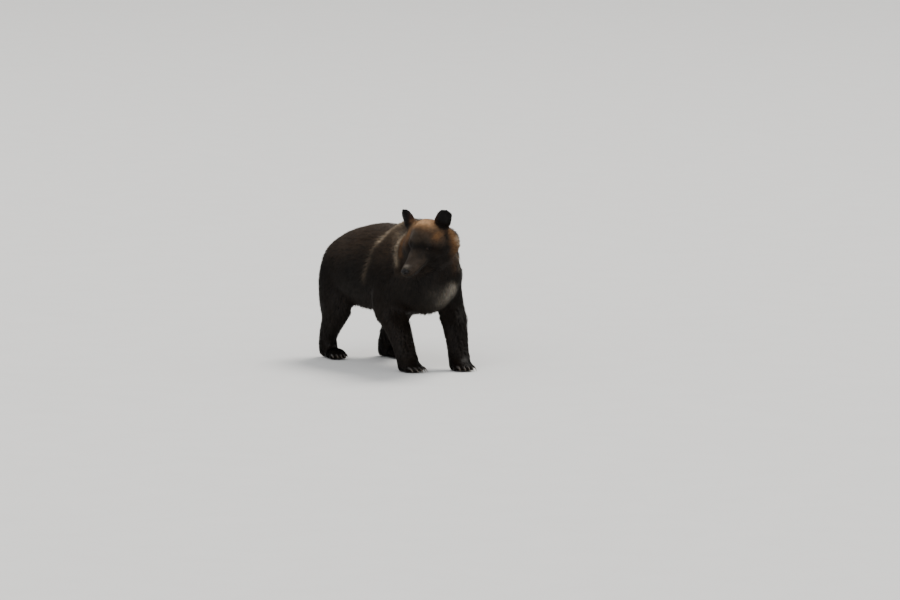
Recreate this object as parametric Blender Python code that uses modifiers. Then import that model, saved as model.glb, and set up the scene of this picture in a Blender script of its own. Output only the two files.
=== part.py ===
"""A grizzly bear at life size, standing in mid-step with its head turned to its right.

Metres, +Z up. The bear faces +X, its left side is +Y and the floor is z = 0. Every shape
reaches out to the tips of the coat. The body is made whole from lofts and ellipsoids that
are fused and softened, and is then parted by thin cuts into the pieces that a person names.
"""

import math

import bmesh
import bpy
import numpy as np
from mathutils import Matrix, Vector

# ---- Driving dimensions ----
HEAD_PLACE = Vector((0.572, -0.107, 0.934))  # middle of the skull, between the cheeks
HEAD_TURN = math.radians(-71)  # about +Z, from straight ahead: the bear looks to its right
HEAD_DROP = math.radians(36)  # the nose points this far below the horizon
EYE_RADIUS = 0.0125
EYE_PLACE = Vector((0.105, 0.0705, 0.003))  # in the head's own axes, left eye
EAR_PLACES = {  # where each ear leaves the skull; the right one is laid lower
    1: Vector((-0.030, 0.142, 0.084)),
    -1: Vector((-0.030, -0.152, 0.056)),
}
EAR_HEIGHT = 0.130
EAR_HALF_WIDTH = 0.056
EAR_SPLAY = math.radians(26)  # outward lean of each ear
EAR_REACH_BACK = math.radians(30)  # lean of each ear towards the nape
EAR_TURN = math.radians(16)  # turn of each cup outward
FOREFOOT_CLAW = 0.062  # length along the curve
HINDFOOT_CLAW = 0.036

# ---- How the body is fused, thinned and parted ----
VOXEL = 0.007
SOFTENING_ROUNDS = 30
FINE_SOFTENING_ROUNDS = 4
BODY_TRIANGLES = 3680
PARTING_GAP = 0.0004
SOCKET_GAP = 0.0004
UNDER_FLOOR = 0.4  # depth of the block that levels the soles
WIDE = 1.2  # reaches past the bear from any point on it
ANKLE_HEIGHT = 0.105
INNER_THIGH = 0.105  # from the middle plane to the parting of leg and trunk, halfway up

# ---- The trunk: x, height of the middle, half width, rise above it, drop below it ----
TRUNK = [
    (-0.815, 0.660, 0.050, 0.060, 0.060),
    (-0.780, 0.655, 0.150, 0.130, 0.130),
    (-0.700, 0.645, 0.232, 0.200, 0.200),
    (-0.580, 0.640, 0.280, 0.250, 0.245),
    (-0.420, 0.645, 0.300, 0.290, 0.270),
    (-0.200, 0.650, 0.305, 0.322, 0.285),
    (0.000, 0.660, 0.296, 0.315, 0.288),
    (0.130, 0.665, 0.282, 0.336, 0.285),
    (0.250, 0.670, 0.266, 0.360, 0.280),
    (0.370, 0.675, 0.248, 0.322, 0.268),
    (0.480, 0.690, 0.202, 0.225, 0.232),
    (0.560, 0.700, 0.140, 0.130, 0.160),
    (0.600, 0.700, 0.050, 0.050, 0.060),
]
TAIL = [  # x, y, z, half width, rise, drop
    (-0.740, 0.0, 0.760, 0.050, 0.040, 0.040),
    (-0.790, 0.0, 0.735, 0.048, 0.040, 0.040),
    (-0.825, 0.0, 0.685, 0.042, 0.036, 0.036),
    (-0.842, 0.0, 0.630, 0.030, 0.026, 0.026),
    (-0.845, 0.0, 0.605, 0.012, 0.011, 0.011),
]
NECK = [  # x, y, z, half width, rise, drop
    (0.140, 0.000, 0.720, 0.240, 0.252, 0.270),
    (0.330, -0.005, 0.768, 0.230, 0.238, 0.262),
    (0.455, -0.038, 0.842, 0.197, 0.192, 0.238),
    (0.520, -0.075, 0.898, 0.170, 0.144, 0.205),
    (0.560, -0.095, 0.928, 0.142, 0.112, 0.140),
]

# ---- The legs, from the body down: x, y outward, z, half thickness to each side,
# ---- reach forward, reach back. The y of a right leg is turned over.
FORELEG_LEFT = [
    (0.280, 0.150, 0.830, 0.080, 0.100, 0.120),
    (0.345, 0.166, 0.690, 0.086, 0.140, 0.160),
    (0.325, 0.193, 0.550, 0.091, 0.124, 0.140),
    (0.325, 0.214, 0.440, 0.094, 0.104, 0.120),
    (0.388, 0.213, 0.310, 0.088, 0.092, 0.098),
    (0.450, 0.202, 0.150, 0.077, 0.072, 0.076),
    (0.475, 0.196, 0.070, 0.078, 0.078, 0.070),
    (0.482, 0.194, 0.020, 0.072, 0.074, 0.064),
]
FORELEG_RIGHT = [
    (0.225, 0.150, 0.830, 0.080, 0.100, 0.120),
    (0.270, 0.180, 0.690, 0.098, 0.140, 0.165),
    (0.205, 0.202, 0.550, 0.098, 0.128, 0.150),
    (0.178, 0.202, 0.440, 0.094, 0.108, 0.124),
    (0.268, 0.174, 0.310, 0.088, 0.094, 0.100),
    (0.340, 0.154, 0.150, 0.077, 0.072, 0.076),
    (0.366, 0.150, 0.070, 0.078, 0.078, 0.070),
    (0.374, 0.149, 0.020, 0.072, 0.074, 0.064),
]
HINDLEG_LEFT = [
    (-0.460, 0.130, 0.730, 0.110, 0.175, 0.175),
    (-0.455, 0.168, 0.610, 0.122, 0.190, 0.200),
    (-0.385, 0.196, 0.480, 0.112, 0.155, 0.195),
    (-0.350, 0.206, 0.375, 0.098, 0.116, 0.150),
    (-0.425, 0.202, 0.270, 0.082, 0.088, 0.100),
    (-0.515, 0.196, 0.150, 0.065, 0.066, 0.070),
    (-0.525, 0.192, 0.070, 0.066, 0.076, 0.064),
    (-0.525, 0.192, 0.020, 0.062, 0.076, 0.058),
]
HINDLEG_RIGHT = [
    (-0.500, 0.130, 0.730, 0.110, 0.175, 0.170),
    (-0.540, 0.172, 0.610, 0.124, 0.185, 0.185),
    (-0.530, 0.200, 0.480, 0.114, 0.155, 0.175),
    (-0.500, 0.210, 0.375, 0.100, 0.116, 0.148),
    (-0.575, 0.206, 0.270, 0.083, 0.088, 0.098),
    (-0.662, 0.200, 0.150, 0.066, 0.068, 0.070),
    (-0.670, 0.196, 0.070, 0.067, 0.078, 0.064),
    (-0.670, 0.196, 0.020, 0.063, 0.078, 0.058),
]
HAMS = [  # middle and radii of the muscle behind each knee
    ((-0.470, 0.190, 0.430), (0.125, 0.098, 0.180)),
    ((-0.600, -0.190, 0.430), (0.125, 0.098, 0.180)),
]

# ---- The feet: x, y outward, turn of the toes outward ----
FEET = {
    "forepaw_left": (0.502, 0.192, math.radians(-4), "fore"),
    "forepaw_right": (0.394, 0.148, math.radians(-6), "fore"),
    "hindpaw_left": (-0.436, 0.194, math.radians(8), "hind"),
    "hindpaw_right": (-0.582, 0.198, math.radians(8), "hind"),
}
# Sole: middle, radii. Toes: (x, y outward) and radii, in the foot's own axes.
SOLES = {
    "fore": [((0.000, 0.0, 0.036), (0.098, 0.079, 0.054))],
    "hind": [
        ((-0.070, 0.0, 0.034), (0.080, 0.060, 0.050)),
        ((0.030, 0.0, 0.034), (0.098, 0.070, 0.048)),
    ],
}
TOE_ARC = {"fore": (0.080, 0.030), "hind": (0.108, 0.028)}  # x of the middle toe, fall to the sides
TOE_SPREAD = {"fore": 0.0300, "hind": 0.0265}  # from one toe to the next
TOE_RADII = {"fore": (0.036, 0.0195, 0.030), "hind": (0.032, 0.0175, 0.027)}
TOE_HEIGHT = 0.026

# ---- The head's own axes: +X to the nose, +Y to its left, +Z to its crown ----
SKULL = [  # x, height of the middle, half width, rise, drop
    (-0.130, -0.020, 0.060, 0.070, 0.060),
    (-0.090, -0.015, 0.112, 0.116, 0.110),
    (-0.040, -0.015, 0.126, 0.137, 0.125),
    (0.010, -0.020, 0.126, 0.138, 0.118),
    (0.050, -0.028, 0.112, 0.130, 0.108),
    (0.080, -0.034, 0.090, 0.112, 0.102),
    (0.106, -0.038, 0.076, 0.092, 0.094),
    (0.135, -0.046, 0.070, 0.072, 0.080),
    (0.172, -0.053, 0.067, 0.059, 0.067),
    (0.215, -0.056, 0.064, 0.054, 0.060),
    (0.255, -0.057, 0.061, 0.051, 0.054),
    (0.292, -0.056, 0.055, 0.047, 0.046),
    (0.318, -0.052, 0.043, 0.039, 0.034),
    (0.330, -0.048, 0.020, 0.022, 0.019),
]
HEAD_MASSES = [  # middle, radii; a mass off the middle line is made on both sides
    ((0.082, 0.052, 0.036), (0.040, 0.032, 0.024)),  # brow
    ((-0.005, 0.090, -0.028), (0.098, 0.086, 0.104)),  # cheek
    ((-0.055, 0.096, -0.058), (0.092, 0.088, 0.118)),  # ruff behind the cheek
    ((0.068, 0.060, -0.064), (0.068, 0.046, 0.056)),  # jaw muscle in front of it
    ((-0.040, 0.000, -0.090), (0.105, 0.112, 0.090)),  # throat
]
THROAT = ((0.510, 0.005, 0.800), (0.132, 0.152, 0.170))  # loose skin from the head to the chest
EAR = [  # height and half width as shares of the ear's own, shift inward, thickness forward, back
    (-0.30, 0.98, 0.014, 0.026, 0.028),
    (0.00, 1.10, 0.012, 0.024, 0.027),
    (0.22, 1.14, 0.008, 0.021, 0.024),
    (0.44, 1.13, 0.004, 0.019, 0.021),
    (0.62, 1.08, 0.001, 0.017, 0.018),
    (0.78, 0.95, 0.000, 0.015, 0.016),
    (0.91, 0.68, 0.000, 0.012, 0.013),
    (0.98, 0.37, 0.000, 0.008, 0.009),
    (1.00, 0.16, 0.000, 0.004, 0.004),
]
EAR_CUP = 0.022  # how far the rims stand forward of the middle

# ---- Finishes: colour, roughness ----
FINISHES = {
    "brown_coat": ((0.055, 0.034, 0.020), 0.85),
    "dark_coat": ((0.020, 0.014, 0.010), 0.85),
    "golden_coat": ((0.180, 0.090, 0.035), 0.85),
    "nose_and_claws": ((0.014, 0.012, 0.011), 0.45),
    "eye": ((0.025, 0.012, 0.006), 0.08),
}
GOLDEN_PIECES = ("head",)
BROWN_PIECES = ("trunk", "neck", "tail", "lower_jaw")


# ---- Shape tools ----
def smooth_rows(rows, per_span):
    """Rows of numbers with more rows between them, on Catmull-Rom curves through each column."""
    table = np.array(rows, float)
    padded = np.vstack([2 * table[0] - table[1], table, 2 * table[-1] - table[-2]])
    found = []
    for i in range(len(table) - 1):
        before, start, end, after = padded[i : i + 4]
        for t in np.arange(per_span) / per_span:
            found.append(
                0.5
                * (
                    2 * start
                    + (end - before) * t
                    + (2 * before - 5 * start + 4 * end - after) * t**2
                    + (3 * start - before - 3 * end + after) * t**3
                )
            )
    found.append(table[-1])
    return np.array(found)


def add_loft(mesh, rows, frame=Matrix.Identity(4), cup=0.0, segments=28, per_span=4):
    """A closed loft. Each row is x, y, z, half width, rise and drop of one oval ring.

    A ring stands square to the path. Its width lies along the frame's Y, and its rise along
    path x Y. A cup above 0 bends the ring's sides towards its rise, as an ear is bent.
    """
    rows = smooth_rows(rows, per_span)
    centres = rows[:, :3]
    along = np.gradient(centres, axis=0)
    along /= np.linalg.norm(along, axis=1)[:, None]
    rises = np.cross(along, (0.0, 1.0, 0.0))
    rises /= np.linalg.norm(rises, axis=1)[:, None]
    sides = np.cross(rises, along)
    turn = np.linspace(0, 2 * math.pi, segments, endpoint=False)
    across, over = np.cos(turn), np.sin(turn)
    rings = []
    for centre, side, rise, (half, up, down) in zip(centres, sides, rises, rows[:, 3:]):
        height = np.where(over > 0, up, down) * over + cup * across**2
        ring = centre + np.outer(half * across, side) + np.outer(height, rise)
        rings.append([mesh.verts.new(frame @ Vector(point)) for point in ring])
    for first, second in zip(rings, rings[1:]):
        for k in range(segments):
            j = (k + 1) % segments
            mesh.faces.new((first[k], first[j], second[j], second[k]))
    mesh.faces.new(rings[0][::-1])
    mesh.faces.new(rings[-1])


def add_ellipsoid(mesh, centre, radii, frame=Matrix.Identity(4)):
    place = frame @ Matrix.Translation(centre) @ Matrix.Diagonal((*radii, 1))
    bmesh.ops.create_uvsphere(mesh, u_segments=28, v_segments=16, radius=1, matrix=place)


def mirrored(rows, side):
    """Rows with y counted outward, turned to the left (1) or right (-1) side."""
    return [(row[0], side * row[1], *row[2:]) for row in rows]


# ---- Collections, objects and materials ----
def new_collection(name):
    made = bpy.data.collections.new(name)
    bpy.context.scene.collection.children.link(made)
    return made


def new_object(name, data, collection):
    made = bpy.data.objects.new(name, data)
    collection.objects.link(made)
    return made


def object_from(mesh, name, collection):
    """A new object that takes what the bmesh holds, with its faces turned outwards."""
    bmesh.ops.recalc_face_normals(mesh, faces=mesh.faces)
    data = bpy.data.meshes.new(name)
    mesh.to_mesh(data)
    mesh.free()
    return new_object(name, data, collection)


def settle(obj):
    """Applies the object's modifiers to its mesh."""
    bpy.context.view_layer.update()
    graph = bpy.context.evaluated_depsgraph_get()
    done = bpy.data.meshes.new_from_object(obj.evaluated_get(graph))
    obj.modifiers.clear()
    obj.data = done


def finish(name):
    """The named finish as a material."""
    colour, roughness = FINISHES[name]
    made = bpy.data.materials.new(name)
    made.use_nodes = True
    shader = made.node_tree.nodes["Principled BSDF"]
    shader.inputs["Base Color"].default_value = (*colour, 1)
    shader.inputs["Roughness"].default_value = roughness
    shader.inputs["Metallic"].default_value = 0
    made.diffuse_color = (*colour, 1)
    return made


# ---- The frames of the head, the ears and the feet ----
def head_frame():
    turn = Matrix.Rotation(HEAD_TURN, 4, "Z")
    drop = Matrix.Rotation(HEAD_DROP, 4, "Y")
    return Matrix.Translation(HEAD_PLACE) @ turn @ drop


def ear_frame(side):
    """+Z up the ear, +Y across it to the bear's left, -X out of its cup."""
    place = Matrix.Translation(EAR_PLACES[side])
    back = Matrix.Rotation(-EAR_REACH_BACK, 4, "Y")
    lean = Matrix.Rotation(-side * EAR_SPLAY, 4, "X")
    turn = Matrix.Rotation(side * EAR_TURN, 4, "Z")
    return head_frame() @ place @ back @ lean @ turn


def foot_frame(name):
    x, outward, toe_out, kind = FEET[name]
    side = 1 if name.endswith("left") else -1
    turn = Matrix.Rotation(side * toe_out, 4, "Z")
    return Matrix.Translation((x, side * outward, 0)) @ turn, kind


def toe_places(kind):
    """(x, y) of the five toes, on an arc whose middle is foremost."""
    foremost, fall = TOE_ARC[kind]
    for step in range(-2, 3):
        yield foremost - fall * (step / 2) ** 2, step * TOE_SPREAD[kind]


# ---- The masses of the body ----
def add_trunk(mesh):
    add_loft(mesh, [(x, 0.0, *rest) for x, *rest in TRUNK])
    add_loft(mesh, TAIL)
    add_loft(mesh, NECK)
    add_ellipsoid(mesh, *THROAT)


def add_legs(mesh):
    add_loft(mesh, mirrored(FORELEG_LEFT, 1))
    add_loft(mesh, mirrored(FORELEG_RIGHT, -1))
    add_loft(mesh, mirrored(HINDLEG_LEFT, 1))
    add_loft(mesh, mirrored(HINDLEG_RIGHT, -1))
    for ham in HAMS:
        add_ellipsoid(mesh, *ham)


def add_foot(mesh, name):
    frame, kind = foot_frame(name)
    for centre, radii in SOLES[kind]:
        add_ellipsoid(mesh, centre, radii, frame)
    for x, y in toe_places(kind):
        add_ellipsoid(mesh, (x, y, TOE_HEIGHT), TOE_RADII[kind], frame)


def add_head(mesh):
    frame = head_frame()
    add_loft(mesh, [(x, 0.0, *rest) for x, *rest in SKULL], frame)
    for (x, y, z), radii in HEAD_MASSES:
        for side in (1, -1) if y else (1,):
            add_ellipsoid(mesh, (x, side * y, z), radii, frame)


def add_ear(mesh, side):
    rows = [
        (0.0, -side * inward, height * EAR_HEIGHT, share * EAR_HALF_WIDTH, front, back)
        for height, share, inward, front, back in EAR
    ]
    add_loft(mesh, rows, ear_frame(side), cup=EAR_CUP)


def near(points, centre, radius, fade):
    """1 within radius of a point, falling to 0 over the fade."""
    away = np.linalg.norm(points - np.array(centre), axis=1)
    return np.clip((radius + fade - away) / fade, 0, 1)


def fine_share(points):
    """How far each point is spared from softening: 1 on the ears, muzzle tip and feet."""
    head = head_frame()
    share = 0.6 * near(points, head @ Vector((0.06, 0, -0.03)), 0.15, 0.08)
    share = np.maximum(share, near(points, head @ Vector((0.27, 0, -0.05)), 0.07, 0.05))
    for side in (1, -1):
        ear = ear_frame(side) @ Vector((0, 0, 0.6 * EAR_HEIGHT))
        share = np.maximum(share, near(points, ear, 0.07, 0.03))
    low = np.clip((0.13 - points[:, 2]) / 0.08, 0, 1)
    return np.maximum(share, low)


def weigh(obj, name, weights):
    group = obj.vertex_groups.new(name=name)
    for index, weight in enumerate(weights):
        group.add([index], float(weight), "REPLACE")


def soften(obj, rounds, group):
    smooth = obj.modifiers.new("soften", "SMOOTH")
    smooth.factor = 0.5
    smooth.iterations = rounds
    smooth.vertex_group = group


def whole_body(collection):
    """All masses fused into one skin, softened where they meet, and thinned to few faces."""
    mesh = bmesh.new()
    add_trunk(mesh)
    add_legs(mesh)
    add_head(mesh)
    for side in (1, -1):
        add_ear(mesh, side)
    for name in FEET:
        add_foot(mesh, name)
    body = object_from(mesh, "whole_body", collection)

    fuse = body.modifiers.new("fuse", "REMESH")
    fuse.mode = "VOXEL"
    fuse.voxel_size = VOXEL
    settle(body)

    points = np.empty(len(body.data.vertices) * 3, np.float32)
    body.data.vertices.foreach_get("co", points)
    fine = fine_share(points.reshape(-1, 3))
    weigh(body, "broad", 1 - fine)
    weigh(body, "all", np.ones(len(fine)))
    soften(body, SOFTENING_ROUNDS, "broad")
    soften(body, FINE_SOFTENING_ROUNDS, "all")
    settle(body)

    thin = body.modifiers.new("thin", "DECIMATE")
    thin.ratio = BODY_TRIANGLES / (2 * len(body.data.polygons))
    settle(body)
    return body


# ---- Cutting ----
def cutter(name, low, high, frame, collection, rounded=False, grown=0.0):
    """A block between two corners in a frame, or a barrel along its Y, grown on every side."""
    low = Vector(low) - Vector((grown,) * 3)
    high = Vector(high) + Vector((grown,) * 3)
    place = frame @ Matrix.Translation((low + high) / 2) @ Matrix.Diagonal((*(high - low), 1))
    mesh = bmesh.new()
    if rounded:
        place = place @ Matrix.Rotation(math.pi / 2, 4, "X")
        size = {"segments": 24, "radius1": 0.5, "radius2": 0.5, "depth": 1, "cap_ends": True}
        bmesh.ops.create_cone(mesh, matrix=place, **size)
    else:
        bmesh.ops.create_cube(mesh, size=1, matrix=place)
    made = object_from(mesh, name, collection)
    made.hide_render = True
    made.display_type = "WIRE"
    return made


def carve(obj, tool, operation):
    boolean = obj.modifiers.new("carve", "BOOLEAN")
    boolean.operation = operation
    boolean.object = tool
    settle(obj)


def leg_regions(names, side, upper, knee, lean):
    """The foot, lower leg and upper leg of one leg: (name, low corner, high corner, frame, round).

    The foot and the lower leg are everything below two heights on the leg's side. The upper
    leg is a barrel whose inner end leans, so that the shoulder or hip thins out upwards.
    """
    x, reach, bottom, top = upper
    low_y, high_y = (0.0, WIDE) if side > 0 else (-WIDE, 0.0)
    back, front = (x - 0.35, x + 0.42)
    plain = Matrix.Identity(4)
    yield names[0], (back, low_y, -WIDE), (front, high_y, ANKLE_HEIGHT), plain, False
    yield names[1], (back, low_y, -WIDE), (front, high_y, knee), plain, False
    leaning = Matrix.Translation((x, side * INNER_THIGH, (bottom + top) / 2))
    leaning = leaning @ Matrix.Rotation(-side * lean, 4, "X")
    half = (top - bottom) / 2
    yield names[2], (-reach, low_y, -half), (reach, high_y, half), leaning, True


def regions():
    """Every named piece but the trunk, in cutting order."""
    head = head_frame()
    for side, name in ((1, "ear_left"), (-1, "ear_right")):
        yield name, (-0.056, -0.078, 0.016), (0.036, 0.078, 0.2), ear_frame(side), False
    yield "nose", (0.300, -0.1, -0.053), (0.5, 0.1, 0.1), head, False
    mouth = head @ Matrix.Translation((0.29, 0, -0.078)) @ Matrix.Rotation(math.radians(-6), 4, "Y")
    yield "lower_jaw", (-0.13, -0.10, -0.07), (0.2, 0.10, 0.0), mouth, False
    yield "head", (-0.085, -0.24, -0.175), (0.5, 0.24, 0.4), head, False
    neck = Matrix.Translation((0.42, 0, 0.74)) @ Matrix.Rotation(math.radians(-28), 4, "Y")
    yield "neck", (0.0, -0.4, -0.10), (0.6, 0.4, 0.5), neck, False
    tail = Matrix.Translation((-0.79, 0, 0.78)) @ Matrix.Rotation(math.radians(20), 4, "Y")
    yield "tail", (-0.3, -0.2, -0.3), (0.0, 0.2, 0.2), tail, False
    fore = (("forepaw", "forearm", "upper_arm"), math.radians(24))
    hind = (("hindpaw", "shank", "thigh"), math.radians(22))
    legs = [  # side, (x, reach to front and back, bottom, top) of the upper leg, knee height
        ("left", 1, (0.335, 0.195, 0.22, 0.80), 0.365, fore),
        ("right", -1, (0.250, 0.200, 0.22, 0.80), 0.365, fore),
        ("left", 1, (-0.430, 0.240, 0.20, 0.82), 0.350, hind),
        ("right", -1, (-0.540, 0.225, 0.20, 0.82), 0.350, hind),
    ]
    for word, side, upper, knee, (kinds, lean) in legs:
        names = [f"{kind}_{word}" for kind in kinds]
        yield from leg_regions(names, side, upper, knee, lean)


def part_body(body, pieces, cutters):
    """Takes each region out of the body as its own object. What is left is the trunk."""
    made = {}
    for name, low, high, frame, rounded in regions():
        piece = new_object(name, body.data.copy(), pieces)
        tool = cutter(f"cut_{name}", low, high, frame, cutters, rounded)
        carve(piece, tool, "INTERSECT")
        grown = cutter(f"gap_{name}", low, high, frame, cutters, rounded, PARTING_GAP)
        carve(body, grown, "DIFFERENCE")
        made[name] = piece
    body.name = "trunk"
    made["trunk"] = body
    return made


# ---- Eyes and claws ----
def add_eyes(made, pieces, cutters):
    """Each eyeball sits in a round socket that is open at the front."""
    for side, word in ((1, "left"), (-1, "right")):
        centre = head_frame() @ Vector((EYE_PLACE.x, side * EYE_PLACE.y, EYE_PLACE.z))
        for radius, name in ((EYE_RADIUS, f"eye_{word}"), (EYE_RADIUS + SOCKET_GAP, f"socket_{word}")):
            mesh = bmesh.new()
            place = Matrix.Translation(centre) @ head_frame().to_3x3().to_4x4()
            bmesh.ops.create_uvsphere(mesh, u_segments=12, v_segments=8, radius=radius, matrix=place)
            if name.startswith("eye"):
                made[name] = object_from(mesh, name, pieces)
            else:
                socket = object_from(mesh, name, cutters)
                socket.hide_render = True
                socket.display_type = "WIRE"
                carve(made["head"], socket, "DIFFERENCE")


def add_claw(mesh, x, y, length, frame):
    """A tapering horn, flat from side to side, that curves down from the toe to the floor."""
    rows = []
    for share in np.linspace(0, 1, 5):
        bend = math.radians(62) * share
        forward = x + length * math.sin(bend) / math.radians(62)
        height = 0.034 - length * (1 - math.cos(bend)) / math.radians(62)
        size = 0.0085 * (1 - 0.82 * share)
        rows.append((forward, y, height, 0.62 * size, size, size))
    rows.insert(0, (x - 0.016, y, 0.035, 0.005, 0.008, 0.008))
    add_loft(mesh, rows, frame, segments=6, per_span=1)


def add_claws(made, pieces, cutters):
    """Five claws to a foot, joined to the paw that they grow from."""
    for name in FEET:
        frame, kind = foot_frame(name)
        length = FOREFOOT_CLAW if kind == "fore" else HINDFOOT_CLAW
        for number, (x, y) in enumerate(toe_places(kind)):
            mesh = bmesh.new()
            add_claw(mesh, x + TOE_RADII[kind][0] - 0.010, y, length, frame)
            claw = object_from(mesh, f"claw_{name}_{number}", cutters)
            claw.hide_render = True
            claw.display_type = "WIRE"
            carve(made[name], claw, "UNION")


def centre(made):
    """Moves every piece so that the box round the bear stands with its middle over the origin."""
    corners = np.array([c for obj in made.values() for v in obj.data.vertices for c in v.co])
    corners = corners.reshape(-1, 3)
    middle = (corners.min(axis=0) + corners.max(axis=0)) / 2
    for obj in made.values():
        obj.data.transform(Matrix.Translation((-middle[0], -middle[1], 0)))


def finish_of(name):
    if name.startswith("eye"):
        return "eye"
    if name == "nose":
        return "nose_and_claws"
    if name in GOLDEN_PIECES:
        return "golden_coat"
    return "brown_coat" if name in BROWN_PIECES else "dark_coat"


def dress(made):
    finishes = {name: finish(name) for name in FINISHES}
    for name, obj in made.items():
        obj.data.materials.clear()
        obj.data.materials.append(finishes[finish_of(name)])


def main():
    for obj in list(bpy.data.objects):
        bpy.data.objects.remove(obj)
    pieces = new_collection("grizzly_bear")
    cutters = new_collection("cutters")
    body = whole_body(pieces)
    low, high = (-WIDE, -WIDE, -UNDER_FLOOR), (WIDE, WIDE, 0)
    carve(body, cutter("floor_level", low, high, Matrix.Identity(4), cutters), "DIFFERENCE")
    made = part_body(body, pieces, cutters)
    add_eyes(made, pieces, cutters)
    add_claws(made, pieces, cutters)
    centre(made)
    dress(made)


main()
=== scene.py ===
"""A grizzly bear dressed for display: one skin, a coat of mesh locks, eyes, lids, nose, lips and claws."""

import math

import bmesh
import bpy
import numpy as np
from mathutils import Matrix, Vector
from mathutils.bvhtree import BVHTree


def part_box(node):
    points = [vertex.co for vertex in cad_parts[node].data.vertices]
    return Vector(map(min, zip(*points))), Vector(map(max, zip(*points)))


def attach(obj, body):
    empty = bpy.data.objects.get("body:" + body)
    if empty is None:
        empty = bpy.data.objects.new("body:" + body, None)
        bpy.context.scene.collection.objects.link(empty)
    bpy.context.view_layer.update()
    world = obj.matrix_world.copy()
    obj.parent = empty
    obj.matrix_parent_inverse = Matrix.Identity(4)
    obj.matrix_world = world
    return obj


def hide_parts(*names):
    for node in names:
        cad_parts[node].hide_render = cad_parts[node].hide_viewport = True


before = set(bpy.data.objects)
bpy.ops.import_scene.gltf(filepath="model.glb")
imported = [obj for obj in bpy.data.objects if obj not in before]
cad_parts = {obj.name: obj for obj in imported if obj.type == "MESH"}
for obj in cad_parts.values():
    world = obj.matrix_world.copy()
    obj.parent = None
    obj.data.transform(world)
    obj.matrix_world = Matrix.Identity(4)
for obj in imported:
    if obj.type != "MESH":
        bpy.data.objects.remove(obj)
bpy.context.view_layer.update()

# ---- Places of the head, ears and feet, in the bear's own frame (metres, degrees) ----
HEAD_PLACE = (0.572, -0.107, 0.934)
HEAD_TURN = -71.0
HEAD_DROP = 36.0
EYE_PLACE = (0.105, 0.0705, 0.003)
EYE_RADIUS = 0.0125
EAR_PLACES = {1: (-0.030, 0.142, 0.084), -1: (-0.030, -0.152, 0.056)}
EAR_SPLAY = 26.0
EAR_REACH_BACK = 30.0
EAR_TURN = 16.0
FEET = {
    "forepaw_left": (0.502, 0.192, -4.0),
    "forepaw_right": (0.394, -0.148, 6.0),
    "hindpaw_left": (-0.436, 0.194, 8.0),
    "hindpaw_right": (-0.582, -0.198, -8.0),
}
# Toes: the middle one's place ahead, how far the outer ones fall back, their spacing and their reach.
TOES = {"fore": (0.080, 0.030, 0.0300, 0.036), "hind": (0.108, 0.028, 0.0265, 0.032)}
CLAW_LENGTH = {"fore": 0.062, "hind": 0.036}
CLAW_ARC = math.radians(62)
CLAW_HEIGHT, CLAW_RADIUS = 0.034, 0.0085
CLAW_ROWS, CLAW_SIDES = 14, 16
# The mouth: how steeply its line rises, where it starts and ends along the head, and the share of the lips'
# length that bends round the front. Each lip is lifted from the line, and has its own thickness.
MOUTH_SLOPE = 0.105
MOUTH_BACK, MOUTH_FRONT = 0.135, 0.270
MOUTH_ROUND = 0.42
LIPS = {"upper": (0.0024, 0.0040), "lower": (-0.0042, 0.0036)}
# The lids' rims, row by row: degrees out from the opening's edge, and radii from the eye's centre.
LID_ROWS = ((0, 0.95), (0, 1.03), (1.5, 1.09), (5, 1.135), (9, 1.145), (14, 1.125), (20, 1.07))
# The nose pad: its place ahead and up, its reach to the side, up, down and ahead, how far it wraps round, and
# its nostrils, a round one and the slit beside it, each as place sideways and up, two radii and depth.
NOSE_PLACE = (0.3125, -0.0385)
NOSE_SIZE = (0.0325, 0.0185, 0.0215, 0.0225)
NOSE_WRAP = 1.18 * math.pi / 2
NOSTRILS = ((0.0138, 0.0005, 0.0074, 0.0062, 0.024), (0.0235, -0.0040, 0.0082, 0.0031, 0.012))

# ---- The skin ----
SKIN_CELL = 0.0100
INSET_STEPS = 8
FACET_ROUNDS = 44
FINER_FROM = (-0.135, 0.085)  # the cells are halved over the head, and again ahead of here
EYE_FINER = 0.030  # and once more within this of an eye
ON_HEAD = 0.004  # a point this near the head's solids is on the head
CHART_MARGIN, CHART_SHRINK = 0.004, 0.96  # the gap between a map's charts, and the step down until they fit
LID_REACH = {1: 2.7, -1: 3.3}  # how far out, in eye radii, each eye's lids blend into the face

LIMBS = ("upper_arm", "forearm", "forepaw", "thigh", "shank", "hindpaw")
HEAD_NODES = ("head", "lower_jaw", "nose")
FLESH = [*HEAD_NODES, "ear_left", "ear_right", "neck", "trunk", "tail"]
FLESH += [f"{limb}_{side}" for limb in LIMBS for side in ("left", "right")]

# The coat over each node: depth from skin to tips, length and width of a lock, and the way that it lies. The
# lies of the head, the ears and the paws are in their own frames.
COAT = {
    "head": (0.011, 0.024, 0.0034, (-1.0, 0.0, -0.12)),
    "lower_jaw": (0.005, 0.013, 0.0024, (-1.0, 0.0, -0.35)),
    "nose": (0.003, 0.008, 0.0018, (-1.0, 0.0, 0.0)),
    "ear": (0.004, 0.019, 0.0022, (0.0, 0.0, 1.0)),
    "neck": (0.032, 0.084, 0.0052, (-0.80, 0.15, -0.65)),
    "trunk": (0.031, 0.080, 0.0052, (-1.0, 0.0, -0.42)),
    "tail": (0.010, 0.045, 0.0050, (-0.25, 0.0, -1.0)),
    "upper_arm": (0.022, 0.060, 0.0050, (-0.42, 0.0, -1.0)),
    "forearm": (0.015, 0.042, 0.0046, (-0.22, 0.0, -1.0)),
    "forepaw": (0.006, 0.015, 0.0030, (0.80, 0.0, -0.60)),
    "thigh": (0.024, 0.064, 0.0050, (-0.40, 0.0, -1.0)),
    "shank": (0.015, 0.042, 0.0046, (-0.15, 0.0, -1.0)),
    "hindpaw": (0.006, 0.015, 0.0030, (0.80, 0.0, -0.60)),
}

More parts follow.
